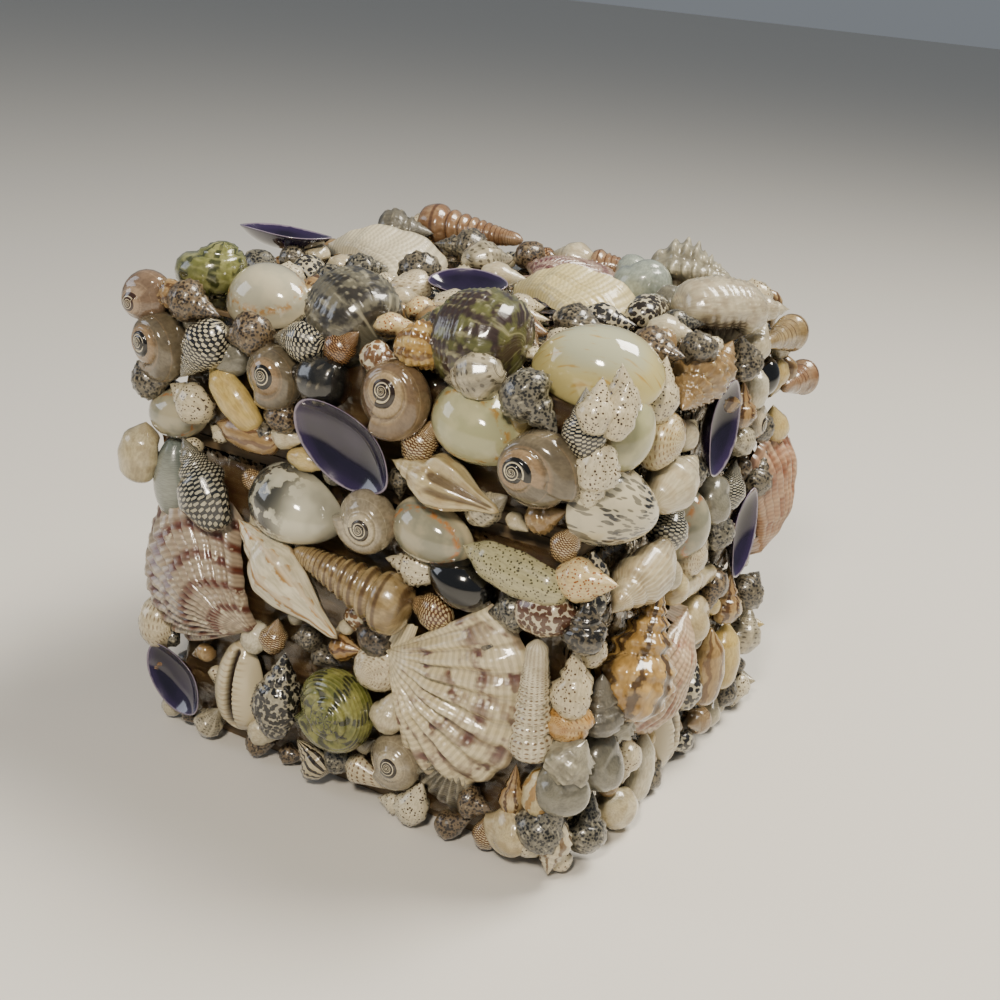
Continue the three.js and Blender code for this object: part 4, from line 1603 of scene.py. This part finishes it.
F, R, B, L, T = Face.FRONT, Face.RIGHT, Face.BACK, Face.LEFT, Face.TOP
S = Species
NAMED = [
    NamedShell("violet_clam_lid_front", F, "violet_shell", Shell(S.VIOLET_CLAM, 27, 19, -33, -12)),
    NamedShell("moon_snail_dark_eye", F, "grey_shell", Shell(S.MOON_GREY, 17, 12.5, -30)),
    NamedShell("moon_snail_pale_eye", F, "tan_shell", Shell(S.MOON_BROWN, 17, 11.5, 240, 8)),
    NamedShell("green_cowrie_lid_front", F, "cream_shell", Shell(S.COWRIE_GREEN, 22, 16, -12, 8)),
    NamedShell("moon_snail_left_edge", F, "grey_shell", Shell(S.MOON_GREY, 16.5, 12, 235, 0, -14)),
    NamedShell("speckled_nassa_lid_front", F, "dark_shell", Shell(S.DOVE_CHECK, 18, 12, 235, 10)),
    NamedShell("open_whelk", F, "cream_shell", Shell(S.WHELK_CREAM, 28, 12, 170, roll=240)),
    NamedShell("golden_nassa", F, "gold_shell", Shell(S.NASSA_GOLD, 18, 11, 4, 40)),
    NamedShell("dashed_nerite", R, "white_shell", Shell(S.NERITE, 24, 17, -18, 0, -22)),
    NamedShell("yellow_cowrie_corner", T, "cream_shell", Shell(S.COWRIE_YELLOW, 27, 20, 200, -28, 12)),
    NamedShell("olive_turban_lid", T, "olive_shell", Shell(S.TURBAN_OLIVE, 27, 23, 176, -30)),
    NamedShell("grey_turban_lid", T, "grey_shell", Shell(S.TURBAN_GREY, 30, 21, 150, -26)),
    NamedShell("grey_cowrie_top_edge", T, "white_shell", Shell(S.COWRIE_WHITE, 23, 17, -6, -34)),
    NamedShell("white_ark_shell", T, "white_shell", Shell(S.ARK_WHITE, 31, 78, 22)),
    NamedShell("cream_ark_shell", T, "cream_shell", Shell(S.ARK_CREAM, 32, 76, 10)),
    NamedShell("violet_clam_top_front", T, "violet_shell", Shell(S.VIOLET_CLAM, 20, 14, 8, -12)),
    NamedShell("violet_clam_top_left", T, "violet_shell", Shell(S.VIOLET_CLAM, 25, 16, 10, 5), raised=True),
    NamedShell("maroon_scallop", T, "rust_shell", Shell(S.SCALLOP_MAROON, 26, 110, 70)),
    NamedShell("pale_ribbed_snail", T, "white_shell", Shell(S.TURBAN_PALE, 30, 17, 50)),
    NamedShell("grey_spiny_shell", T, "grey_shell", Shell(S.SPINY, 22, 15, 14)),
    NamedShell("brown_turret_back_edge", T, "tan_shell", Shell(S.TURRET_RUST, 32, 13, 3)),
    NamedShell("violet_clam_lid_right", R, "violet_shell", Shell(S.VIOLET_CLAM, 23, 17, 82)),
    NamedShell("green_cowrie_lid_right", R, "cream_shell", Shell(S.COWRIE_GREEN, 18, 15, 60, 0, -18)),
    NamedShell("white_conch_lid_right", R, "white_shell", Shell(S.DOVE_WHITE, 22, 13, 15)),
    NamedShell("ribbed_snail_lid_right", R, "tan_shell", Shell(S.TAN_BEADED, 20, 14, 205, 24)),
    NamedShell("cream_scallop", F, "cream_shell", Shell(S.SCALLOP_CREAM, 37, 112, -20)),
    NamedShell("mottled_cockle", F, "rust_shell", Shell(S.COCKLE_RUST, 42, 102, 158, 0, -10)),
    NamedShell("white_conch", F, "white_shell", Shell(S.CONCH_WHITE, 37, 15, 144)),
    NamedShell("brown_turret", F, "tan_shell", Shell(S.TURRET_BROWN, 33, 15, 169)),
    NamedShell("mottled_white_snail", F, "white_shell", Shell(S.EGG_WHITE, 25, 18, -8)),
    NamedShell("checkered_shell", F, "dark_shell", Shell(S.CHECK_BIG, 24, 15, 122)),
    NamedShell("moon_snail_body_front", F, "grey_shell", Shell(S.MOON_PALE, 15, 10.5, 180)),
    NamedShell("grey_cowrie_body_front", F, "grey_shell", Shell(S.COWRIE_GREY, 20, 14, -6)),
    NamedShell("dotted_olive", F, "cream_shell", Shell(S.OLIVE_DOTTED, 27, 11, 172)),
    NamedShell("violet_clam_low_left", F, "violet_shell", Shell(S.VIOLET_CLAM, 21, 15, -35, 0, -6)),
    NamedShell("cowrie_underside", F, "white_shell", Shell(S.COWRIE_UNDER, 24, 14, 87)),
    NamedShell("grey_granular_shell", F, "dark_shell", Shell(S.GRANULAR, 24, 13, 84)),
    NamedShell("green_turban", F, "olive_shell", Shell(S.GREEN_SNAIL, 20, 13, 200)),
    NamedShell("white_tower", F, "white_shell", Shell(S.TOWER_WHITE, 29, 10, 92)),
    NamedShell("grey_limpet", F, "grey_shell", Shell(S.LIMPET_GREY, 18, 108, 228)),
    NamedShell("pink_scallop", R, "rust_shell", Shell(S.SCALLOP_PINK, 32, 84, 244)),
    NamedShell("golden_tulip", R, "gold_shell", Shell(S.GOLD_BEADED, 32, 19, 66)),
    NamedShell("white_ribbed_snail", R, "white_shell", Shell(S.WHITE_RIBBED, 26, 14, 198)),
    NamedShell("green_cowrie_body_right", R, "grey_shell", Shell(S.COWRIE_GREY, 17, 13, 80)),
    NamedShell("violet_clam_body_right", R, "violet_shell", Shell(S.VIOLET_CLAM, 24, 15, 84)),
    NamedShell("orange_scallop", R, "rust_shell", Shell(S.SCALLOP_ORANGE, 32, 70, 84)),
    NamedShell("white_scallop_back", B, "white_shell", Shell(S.SCALLOP_CREAM, 34, 96, 90)),
    NamedShell("cockle_left", L, "rust_shell", Shell(S.COCKLE_RUST, 32, 90, 88)),
]

# Small shells by bed: species, along, up, length, width, turn.
LAID: dict[str, list[tuple]] = {
    "lid_front": [
        (S.NASSA_GREY, -58, 91.5, 13, 10, 20), (S.NASSA_BROWN, -31, 108, 14, 11, 200),
        (S.DOVE_CHECK, -16.5, 109.5, 15, 10, 185), (S.OLIVE_YELLOW, -34.5, 92.5, 20, 9.5, 138),
        (S.MOON_GREY, -23, 100, 15, 11, 230), (S.DOVE_SPOT, -47, 89, 14, 11, 160),
        (S.NASSA_BROWN, -20, 92.5, 11, 9, 80), (S.BLACK_SNAIL, -11, 102.5, 16, 12, 180),
        (S.GREY_RIBBED, 28.5, 111.5, 15, 11, 200), (S.NASSA_BLACK, 43.5, 108.5, 16, 12, -38),
        (S.DOVE_CHECK, 55.5, 107.5, 15, 10.5, 98), (S.KNOB_WHITE, 58, 96, 17, 9.5, 262),
        (S.TAN_LONG, -31, 84, 19, 8, 176), (S.TAN_BEADED, 48, 85, 10, 7, 30),
        (S.NASSA_BROWN, -46, 111.5, 15, 10, 350), (S.TOP_BROWN, -5, 110.5, 11, 8, 45),
        (S.DOVE_BROWN, 17, 94.5, 12.5, 9, 60), (S.TOP_WHITE, 5, 109.5, 10.5, 8, 0),
        (S.MOON_PINK, -61, 110.5, 12, 9, 30), (S.COWRIE_GREY, -53, 83.5, 17, 12, 10),
        (S.DOVE_WHITE, -19.5, 86, 9, 7, 0), (S.DOVE_CREAM, -13.5, 81.5, 13, 6, 0),
        (S.NASSA_BLACK, -6, 81.5, 8, 6, 70), (S.GREY_RIBBED, 34, 83.5, 12, 8, 40),
        (S.DOVE_CREAM, 38.5, 103.5, 8, 6, 200), (S.DOVE_SPOT, 62, 111.5, 13, 9, 80),
        (S.NASSA_TAN, -55, 112, 11, 8, 200), (S.PEARL, -36, 100.5, 9, 8, 0),
        (S.NASSA_GREY, -27, 86, 9, 7, 130),
    ],
    "lid_right": [
        (S.TAN_BEADED, 5, 108.5, 13, 9, 40), (S.NASSA_GREY, 17, 107.5, 13, 10, 120),
        (S.TURRET_BROWN, 41, 107.5, 22, 10, 178), (S.NASSA_TAN, 21, 94.5, 12, 9, 90),
        (S.TURRET_RUST, 57, 92.5, 17, 10, 180), (S.BLACK_OLIVE, 38, 97.5, 11, 9, 80),
        (S.WHITE_SMOOTH, 30, 96.5, 11, 8, 80), (S.DOVE_SPOT, -29, 109.5, 15, 10, 80),
        (S.DOVE_WHITE, -10, 95, 11, 8, 20), (S.GREY_RIBBED, 24, 84.5, 12, 8, 170),
        (S.NASSA_GREY, 40, 84.5, 13, 8, 5), (S.SNAIL_CREAM, -27, 97.5, 14, 10, 300),
        (S.NASSA_BLACK, -2, 84, 11, 8, 0), (S.DOVE_SPOT, -47, 112.5, 14, 9, 100),
        (S.DOVE_SPOT, -57, 112.5, 12, 8.5, 80), (S.NASSA_TAN, 13, 99.5, 11, 8, 70),
        (S.MOON_PALE, 32, 87.5, 10, 8, 0), (S.DOVE_WHITE, 28, 108.5, 12, 8, 50),
    ],
    "lid_top": [
        (S.TURBAN_GREEN, -52, -41, 16, 14, 190), (S.NASSA_GREY, -49, -12, 11, 8, 20),
        (S.DOVE_WHITE, -49.5, -4, 11, 8, 110), (S.NASSA_TAN, -25, -26, 14, 10, 170),
        (S.DOVE_SPOT, 5, -22, 14, 9, 20), (S.NASSA_GREY, 34, -17, 15, 10, 350),
        (S.NASSA_BROWN, 55, -22, 14, 10, 350), (S.NASSA_GREY, -20, -1, 14, 11, 120),
        (S.NASSA_WHITE, -8, 3, 11, 8, 30), (S.GREY_RIBBED, -14, 21, 15, 11, 60),
        (S.SMOOTH_BLUE, 26, 30, 15, 11, 140), (S.GREY_BEADED, -48, 33, 16, 12, 20),
        (S.NASSA_GREY, -28, 30, 15, 11, 200), (S.DOVE_WHITE, -2, 44, 14, 10, 170),
        (S.DOVE_SPOT, 36, -29, 11, 8, 100), (S.DOVE_SPOT, 15, -10, 11, 8, 60),
        (S.DOVE_MOTTLE, 35, -7, 14, 9, 10), (S.DOVE_WHITE, 50, -5, 12, 9, 20),
        (S.TURRET_RUST, 11, 45, 15, 9, 10), (S.CORDED_WHITE, -15, -13, 10, 8, 220),
        (S.NASSA_WHITE, 52, 42, 13, 10, 80), (S.SPOTTED_CONE, 39, 6, 17, 10, 96),
        (S.NASSA_BLACK, -31, -8, 13, 9, 75), (S.KNOB_WHITE, -40, -28, 12, 8, 130),
        (S.NASSA_GREY, 61, -12, 12, 9, 80), (S.NASSA_TAN, -23, -37, 12, 9, 10),
        (S.PEARL, 39, 21, 11, 9, 40), (S.SMOOTH_BLUE, 19, 41, 12, 9, 20),
        (S.NASSA_GREY, 28, -46, 11, 8, 20), (S.NASSA_BLACK, -33, -20, 11, 8, 120),
    ],
    "body_front": [
        (S.BLUE_GREY, -54.5, 66.5, 21, 11, 90), (S.BLACK_OLIVE, 28, 64.5, 17, 12, 160),
        (S.PATCHED_EGG, 51, 64.5, 15, 11, 8), (S.KNOB_WHITE, 15.5, 64.5, 14, 8, 180),
        (S.DOVE_CREAM, -36, 58.5, 10, 8, 80), (S.DOVE_BROWN, -21.5, 35.5, 10, 8, 80),
        (S.NASSA_BLACK, 0, 9.5, 11, 8, 10), (S.DOVE_ORANGE, -1, 38.5, 9, 7, 10),
        (S.NASSA_DARK, 9.5, 46.5, 13, 10, 60), (S.MOON_PALE, 15, 15.5, 14, 11, 215),
        (S.CORDED_WHITE, 9.5, 37.5, 12, 9, 20), (S.NASSA_TAN, 46, 18.5, 14, 6.5, 90),
        (S.NASSA_WHITE, 58.5, 50.5, 17, 10, 92), (S.GOLD_ROUND, 58, 40, 10, 9, 0),
        (S.SPINY, 60, 33, 13, 11, 60), (S.PEARL, 59, 24.5, 13, 11, 40),
        (S.GOLD_LINED, 54, 22.5, 14, 9.5, 75), (S.TIP_SHELL, 57, 8.5, 15, 8.5, 268),
        (S.CREAM_ROUND, 46.5, 9, 12, 10, 150), (S.DOVE_WHITE, -24, 8, 9, 8, 0),
        (S.DOVE_BROWN, 21.5, 56, 13, 9, 175), (S.NASSA_BLACK, 41, 61.5, 11, 9, 200),
        (S.ZEBRA, -8.5, 7.5, 11.5, 10, 150),
        (S.NASSA_GREY, 38.5, 54.5, 10, 8, 45), (S.WORN_CREAM, -62, 72.5, 16, 12, 80),
        (S.NASSA_DARK, 8, 46.5, 9, 7, 20), (S.CREAM_DOTS, 59, 74, 15, 10, 10),
        (S.DARK_BEADED, 60, 64.5, 13, 10, 92), (S.DOVE_WHITE, 13, 27.5, 11.5, 10, 80),
        (S.CONE_BAND, 7, 8.5, 14, 8, 170), (S.NASSA_BLACK, 56, 15, 15, 12, 60),
        (S.NASSA_BROWN, 37, 11.5, 9, 8, 0), (S.DOVE_SPOT, 52, 8.5, 10, 8, 60),
        (S.TOP_WHITE, 2.5, 49.5, 10, 8, 100), (S.NASSA_GREY, -13, 37.5, 9, 7, 200),
        (S.WHITE_SMOOTH, -27, 33.5, 9, 8, 60), (S.NASSA_BROWN, -25, 4.5, 9, 7, 20),
        (S.GREY_RIBBED, -41, 4.5, 10, 8, 60),
    ],
    "body_right": [
        (S.PEARL, -38, 24.5, 14, 12, 60), (S.SPINY, -32, 32.5, 12, 10, 20),
        (S.CREAM_STACK, 3, 54.5, 30, 9, -10), (S.DOVE_WHITE, -11, 61.5, 11, 9, 10),
        (S.NASSA_BLACK, 14, 65.5, 14, 10, 120), (S.CORDED_WHITE, 0, 62.5, 12, 8, 350),
        (S.NASSA_TAN, 29, 40.5, 14, 10, 80), (S.COWRIE_UNDER, 3, 12.5, 23, 12, 100),
        (S.WHITE_SMOOTH, -12, 8.5, 19, 8, 85), (S.OLIVE_TAN, 20, 24.5, 22, 11, 88),
        (S.OLIVE_YELLOW, 33, 22.5, 20, 10, 92), (S.NASSA_GREY, 44, 38.5, 14, 11, 20),
        (S.DOVE_MOTTLE, 12, 22.5, 14, 9, 60), (S.NASSA_BLACK, -42, 10.5, 15, 11, 80),
        (S.WORN_CREAM, -27, 5.5, 14, 11, 150), (S.CREAM_ROUND, 6, 42.5, 13, 11, 0),
        (S.PEARL, 11, 72.5, 12, 10, 30), (S.CHECK_BIG, -16, 75.5, 15, 11, 60),
        (S.NASSA_GREY, 42, 8.5, 13, 8, 10), (S.DOVE_BROWN, 22, 7.5, 12, 8, 170),
        (S.NASSA_WHITE, -47, 57.5, 12, 8, 80), (S.GREY_BEADED, -43, 41.5, 15, 12, 95),
        (S.NASSA_GREY, 41, 71.5, 13, 9, 60), (S.CHECK_BIG, 22, 73.5, 13, 9, 80),
        (S.GREY_RIBBED, 45, 25.5, 14, 11, 70),
    ],
}
MIXED = [
    S.NASSA_GREY, S.DOVE_SPOT, S.NASSA_TAN, S.DOVE_CHECK, S.COWRIE_GREEN, S.MOON_BROWN, S.DOVE_BROWN,
    S.NASSA_WHITE, S.DOVE_WHITE, S.TURBAN_GREY, S.COWRIE_WHITE, S.DOVE_MOTTLE, S.MOON_GREY,
    S.TAN_BEADED, S.OLIVE_DOTTED, S.WHITE_RIBBED,
]
FILLERS = [
    S.DOVE_WHITE, S.DOVE_SPOT, S.NASSA_GREY, S.NASSA_TAN, S.DOVE_CREAM, S.CORDED_WHITE, S.DOVE_MOTTLE,
    S.NASSA_BROWN, S.DOVE_BROWN, S.NASSA_BLACK, S.TAN_BEADED, S.NASSA_WHITE, S.KNOB_WHITE,
    S.GREY_RIBBED, S.CREAM_DOTS, S.TOP_BROWN,
]


@dataclass
class Bed:
    """The glue on one face and the small shells that are set in it."""

    key: str
    face: Face
    low: float
    high: float
    spread: int = 0
    discs: list[tuple[float, float, float]] = field(default_factory=list)

    @property
    def node(self) -> str:
        """The CAD node that the bed stands for."""
        return f"glued_small_shells_{self.key}"

    def rows(self) -> list[tuple]:
        """Gives the shells that are listed one by one, or laid in staggered rows on a side turned away.

        Returns:
            Rows of species, along, up, length, width and turn.
        """
        if not self.spread:
            return LAID[self.key]
        rows = []
        width = 2 * self.face.half
        per_row = round(math.sqrt(self.spread * width / (self.high - self.low)))
        levels = math.ceil(self.spread / per_row)
        for i in range(self.spread):
            level = i // per_row
            shift = 0.25 * ((level % 2) * 2 - 1)
            along = (i % per_row + 0.5 + shift) / per_row - 0.5
            up = self.low + (level + 0.5) / levels * (self.high - self.low) + 3 * math.sin(7 * i)
            length = 13 + 4 * math.sin(5 * i + 1)
            kind = MIXED[(5 * i + len(self.key)) % len(MIXED)]
            rows.append((kind, along * (width - 12), up, length, 0.68 * length, 83 * i))
        return rows

    def build(
        self, shop: Paintshop, large: Iterable[NamedShell], dice: np.random.Generator
    ) -> bpy.types.Object:
        """Makes the bed.

        Args:
            shop: Where its finishes come from.
            large: The named shells on the same face.
            dice: The source of the fillers' places.

        Returns:
            The object.
        """
        piece = Piece(f"{self.node}_laid")
        for shell in large:
            if self.low - 8 < shell.spot.y < self.high + 8 and not shell.raised:
                self.discs += shell.footprint
        large_discs = list(self.discs)
        for species, along, up, length, width, turn in self.rows():
            buried = min((math.hypot(along - x, up - y) - r for x, y, r in large_discs), default=20.0)
            if buried > -2.5:
                self.lay(piece, species, along, up, length, width, turn, 2.2)
        self.fill(piece, dice)
        self.pour(piece)
        return piece.build(shop, "glued_shells", self.node)

    def lay(
        self, piece: Piece, species: Species, along: float, up: float, length: float, width: float,
        turn: float, out: float, detail: tuple[int, int] = SMALL,
    ) -> None:
        """Lays one small shell and keeps its room.

        Args:
            piece: The bed's piece.
            species: Its kind.
            along: Its place along the face.
            up: Its place up the face.
            length: Its length.
            width: Its width.
            turn: How far it is turned.
            out: Its height above the wood.
            detail: Rows and columns of its mesh.
        """
        form = species.value[0]
        if isinstance(form, Snail):
            width = 0.72 * length
        shell = Shell(species, length, width, turn)
        shell.add_to(piece, self.face, Vector((along, up, out)), detail, centred=False)
        ax, ay = math.cos(math.radians(turn)), math.sin(math.radians(turn))
        if isinstance(form, Snail):
            self.discs.append((along, up, length / 2))
            return
        for share, size in ((-0.28, 0.42), (0, 0.46), (0.3, 0.3)):
            self.discs.append((along + share * length * ax, up + share * length * ay, size * width))

    def room(self, along: float, up: float) -> float:
        """Gives how far a point is from the nearest shell.

        Args:
            along: The point's place along the face.
            up: Its place up the face.

        Returns:
            The distance, below 0 inside a shell.
        """
        return min((math.hypot(along - x, up - y) - radius for x, y, radius in self.discs), default=20.0)

    def fill(self, piece: Piece, dice: np.random.Generator) -> None:
        """Sets fillers into the gaps, larger ones first.

        Args:
            piece: The bed's piece.
            dice: The source of their places.
        """
        for radius, tries in FILLER_SIZES:
            for along, up, turn, pick, tilt in dice.random((tries, 5)):
                x = (2 * along - 1) * (self.face.half + 4)
                y = self.low - 1 + up * (self.high - self.low + 2)
                if self.room(x, y) > 0.82 * radius:
                    species = FILLERS[int(pick * len(FILLERS))]
                    length = 2.6 * radius
                    self.lay(piece, species, x, y, length, 1.75 * radius, 360 * turn, 1.0 + 2.4 * tilt, TINY)

    def pour(self, piece: Piece) -> None:
        """Adds the clear glue, which climbs a little round each shell.

        Args:
            piece: The bed's piece.
        """
        half = self.face.half
        x = np.linspace(-half, half, GLUE_ROWS)[:, None]
        y = np.linspace(self.low, self.high, GLUE_COLUMNS)[None, :]
        gap = np.full((GLUE_ROWS, GLUE_COLUMNS), 20.0)
        for along, up, radius in self.discs:
            gap = np.minimum(gap, np.hypot(x - along, y - up) - radius)
        swell = 0.3 * np.sin(0.7 * x + 0.2 * y) * np.cos(0.9 * y)
        height = 1.0 + 1.9 * np.exp(-np.maximum(gap, 0) / 1.1) + swell
        edge = np.minimum(np.minimum(half - np.abs(x), y - self.low), self.high - y)
        height = GLUE_BACK + height * step(-0.6, 2.2, edge)
        top = grid(x, y, height)
        base = grid(x[[0, -1]], y[:, [0, -1]], np.full((2, 2), GLUE_BACK))
        plain = ("ffffff", "ffffff", "ffffff")
        coil = np.zeros((GLUE_ROWS, GLUE_COLUMNS, 3))
        piece.add(Patch(top, coil, wrap=False), self.face.basis, Coatings.GLUE, plain)
        piece.add(Patch(base, coil[:2, :2], wrap=False, flip=True), self.face.basis, Coatings.GLUE, plain)


class ShellBox:
    """The wooden box and its lid with everything that is glued to them."""

    def __init__(self) -> None:
        """Starts with the finishes and the seeded dice."""
        self.shop = Paintshop()
        self.dice = np.random.default_rng(SEED)
        body, lid = (2.5, 75.5), (81, 108.5)
        self.beds = [
            Bed("lid_front", F, *lid), Bed("lid_right", R, *lid), Bed("lid_back", B, *lid, spread=18),
            Bed("lid_left", L, *lid, spread=16), Bed("lid_top", T, -HALF_DEPTH, HALF_DEPTH),
            Bed("body_front", F, *body), Bed("body_right", R, *body), Bed("body_back", B, *body, spread=34),
            Bed("body_left", L, *body, spread=30),
        ]

    def build(self) -> None:
        """Makes and dresses every piece."""
        for name in ("box_body", "lid"):
            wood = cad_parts[name]
            wood.data.materials.clear()
            wood.data.materials.append(self.shop.get(Coatings.WOOD))
        for shell in NAMED:
            shell.build(self.shop)
        for bed in self.beds:
            bed.build(self.shop, [shell for shell in NAMED if shell.face is bed.face], self.dice)


# ---------------------------------------------------------------- studio
@dataclass(frozen=True)
class Studio:
    """The floor, the lights and the camera."""

    azimuth: float = 29.25
    elevation: float = 21.28
    roll: float = 4.75
    distance: float = 410.0
    aim: tuple[float, float] = (10.37, 51.78)
    lift: float = 4.5
    lens: float = 55.18

    def camera(self) -> None:
        """Places the camera."""
        a, e, r = (math.radians(v) for v in (self.azimuth, self.elevation, self.roll))
        back = Vector((math.sin(a) * math.cos(e), -math.cos(a) * math.cos(e), math.sin(e)))
        right = Vector((math.cos(a), math.sin(a), 0))
        up = back.cross(right)
        x = math.cos(r) * right + math.sin(r) * up
        y = -math.sin(r) * right + math.cos(r) * up
        data = bpy.data.cameras.new("camera")
        data.lens = self.lens
        data.clip_start = 0.02
        camera = bpy.data.objects.new("camera", data)
        place = (self.aim[0] * x + self.aim[1] * y + self.distance * back + Vector((0, 0, self.lift))) * MM
        camera.matrix_world = Matrix([[x[i], y[i], back[i], place[i]] for i in range(3)] + [[0, 0, 0, 1]])
        bpy.context.scene.collection.objects.link(camera)
        bpy.context.scene.camera = camera

    def light(
        self, name: str, place: tuple[float, float, float], size: float, power: float, tint: str
    ) -> None:
        """Adds a soft light that faces the box.

        Args:
            name: Its name.
            place: Where it stands, in metres.
            size: Its side, in metres.
            power: Its power in watts.
            tint: Its colour.
        """
        data = bpy.data.lights.new(name, "AREA")
        data.size, data.energy, data.color = size, power, ink(tint)[:3]
        lamp = bpy.data.objects.new(name, data)
        lamp.location = place
        aim = Vector((0, 0, 0.06)) - Vector(place)
        lamp.rotation_mode = "QUATERNION"
        lamp.rotation_quaternion = aim.to_track_quat("-Z", "Y")
        bpy.context.scene.collection.objects.link(lamp)

    def build(self) -> None:
        """Sets up the studio."""
        world = bpy.data.worlds.new("studio")
        world.use_nodes = True
        world.node_tree.nodes["Background"].inputs["Color"].default_value = ink("dde5ee")
        world.node_tree.nodes["Background"].inputs["Strength"].default_value = 0.26
        bpy.context.scene.world = world
        side = 3.0
        mesh = bpy.data.meshes.new("floor")
        corners = [(-side, -side, 0), (side, -side, 0), (side, side, 0), (-side, side, 0)]
        mesh.from_pydata(corners, [], [(0, 1, 2, 3)])
        floor = bpy.data.objects.new("floor", mesh)
        mesh.materials.append(Shader("pale_floor").surface(ink("d9d5cd"), Roughness=0.6))
        bpy.context.scene.collection.objects.link(floor)
        self.light("window", (0.3, 0.3, 0.8), 0.34, 11.5, "fff8ea")
        self.light("lamp", (0.22, -0.62, 0.62), 0.12, 6.4, "fff3e0")
        self.light("fill", (-0.75, -0.4, 0.4), 0.4, 1.5, "eef4ff")
        self.camera()


def main() -> None:
    """Builds the box and the studio."""
    logging.basicConfig(level=logging.INFO, format="%(name)s: %(message)s")
    ShellBox().build()
    Studio().build()


if __name__ == "__main__":
    main()
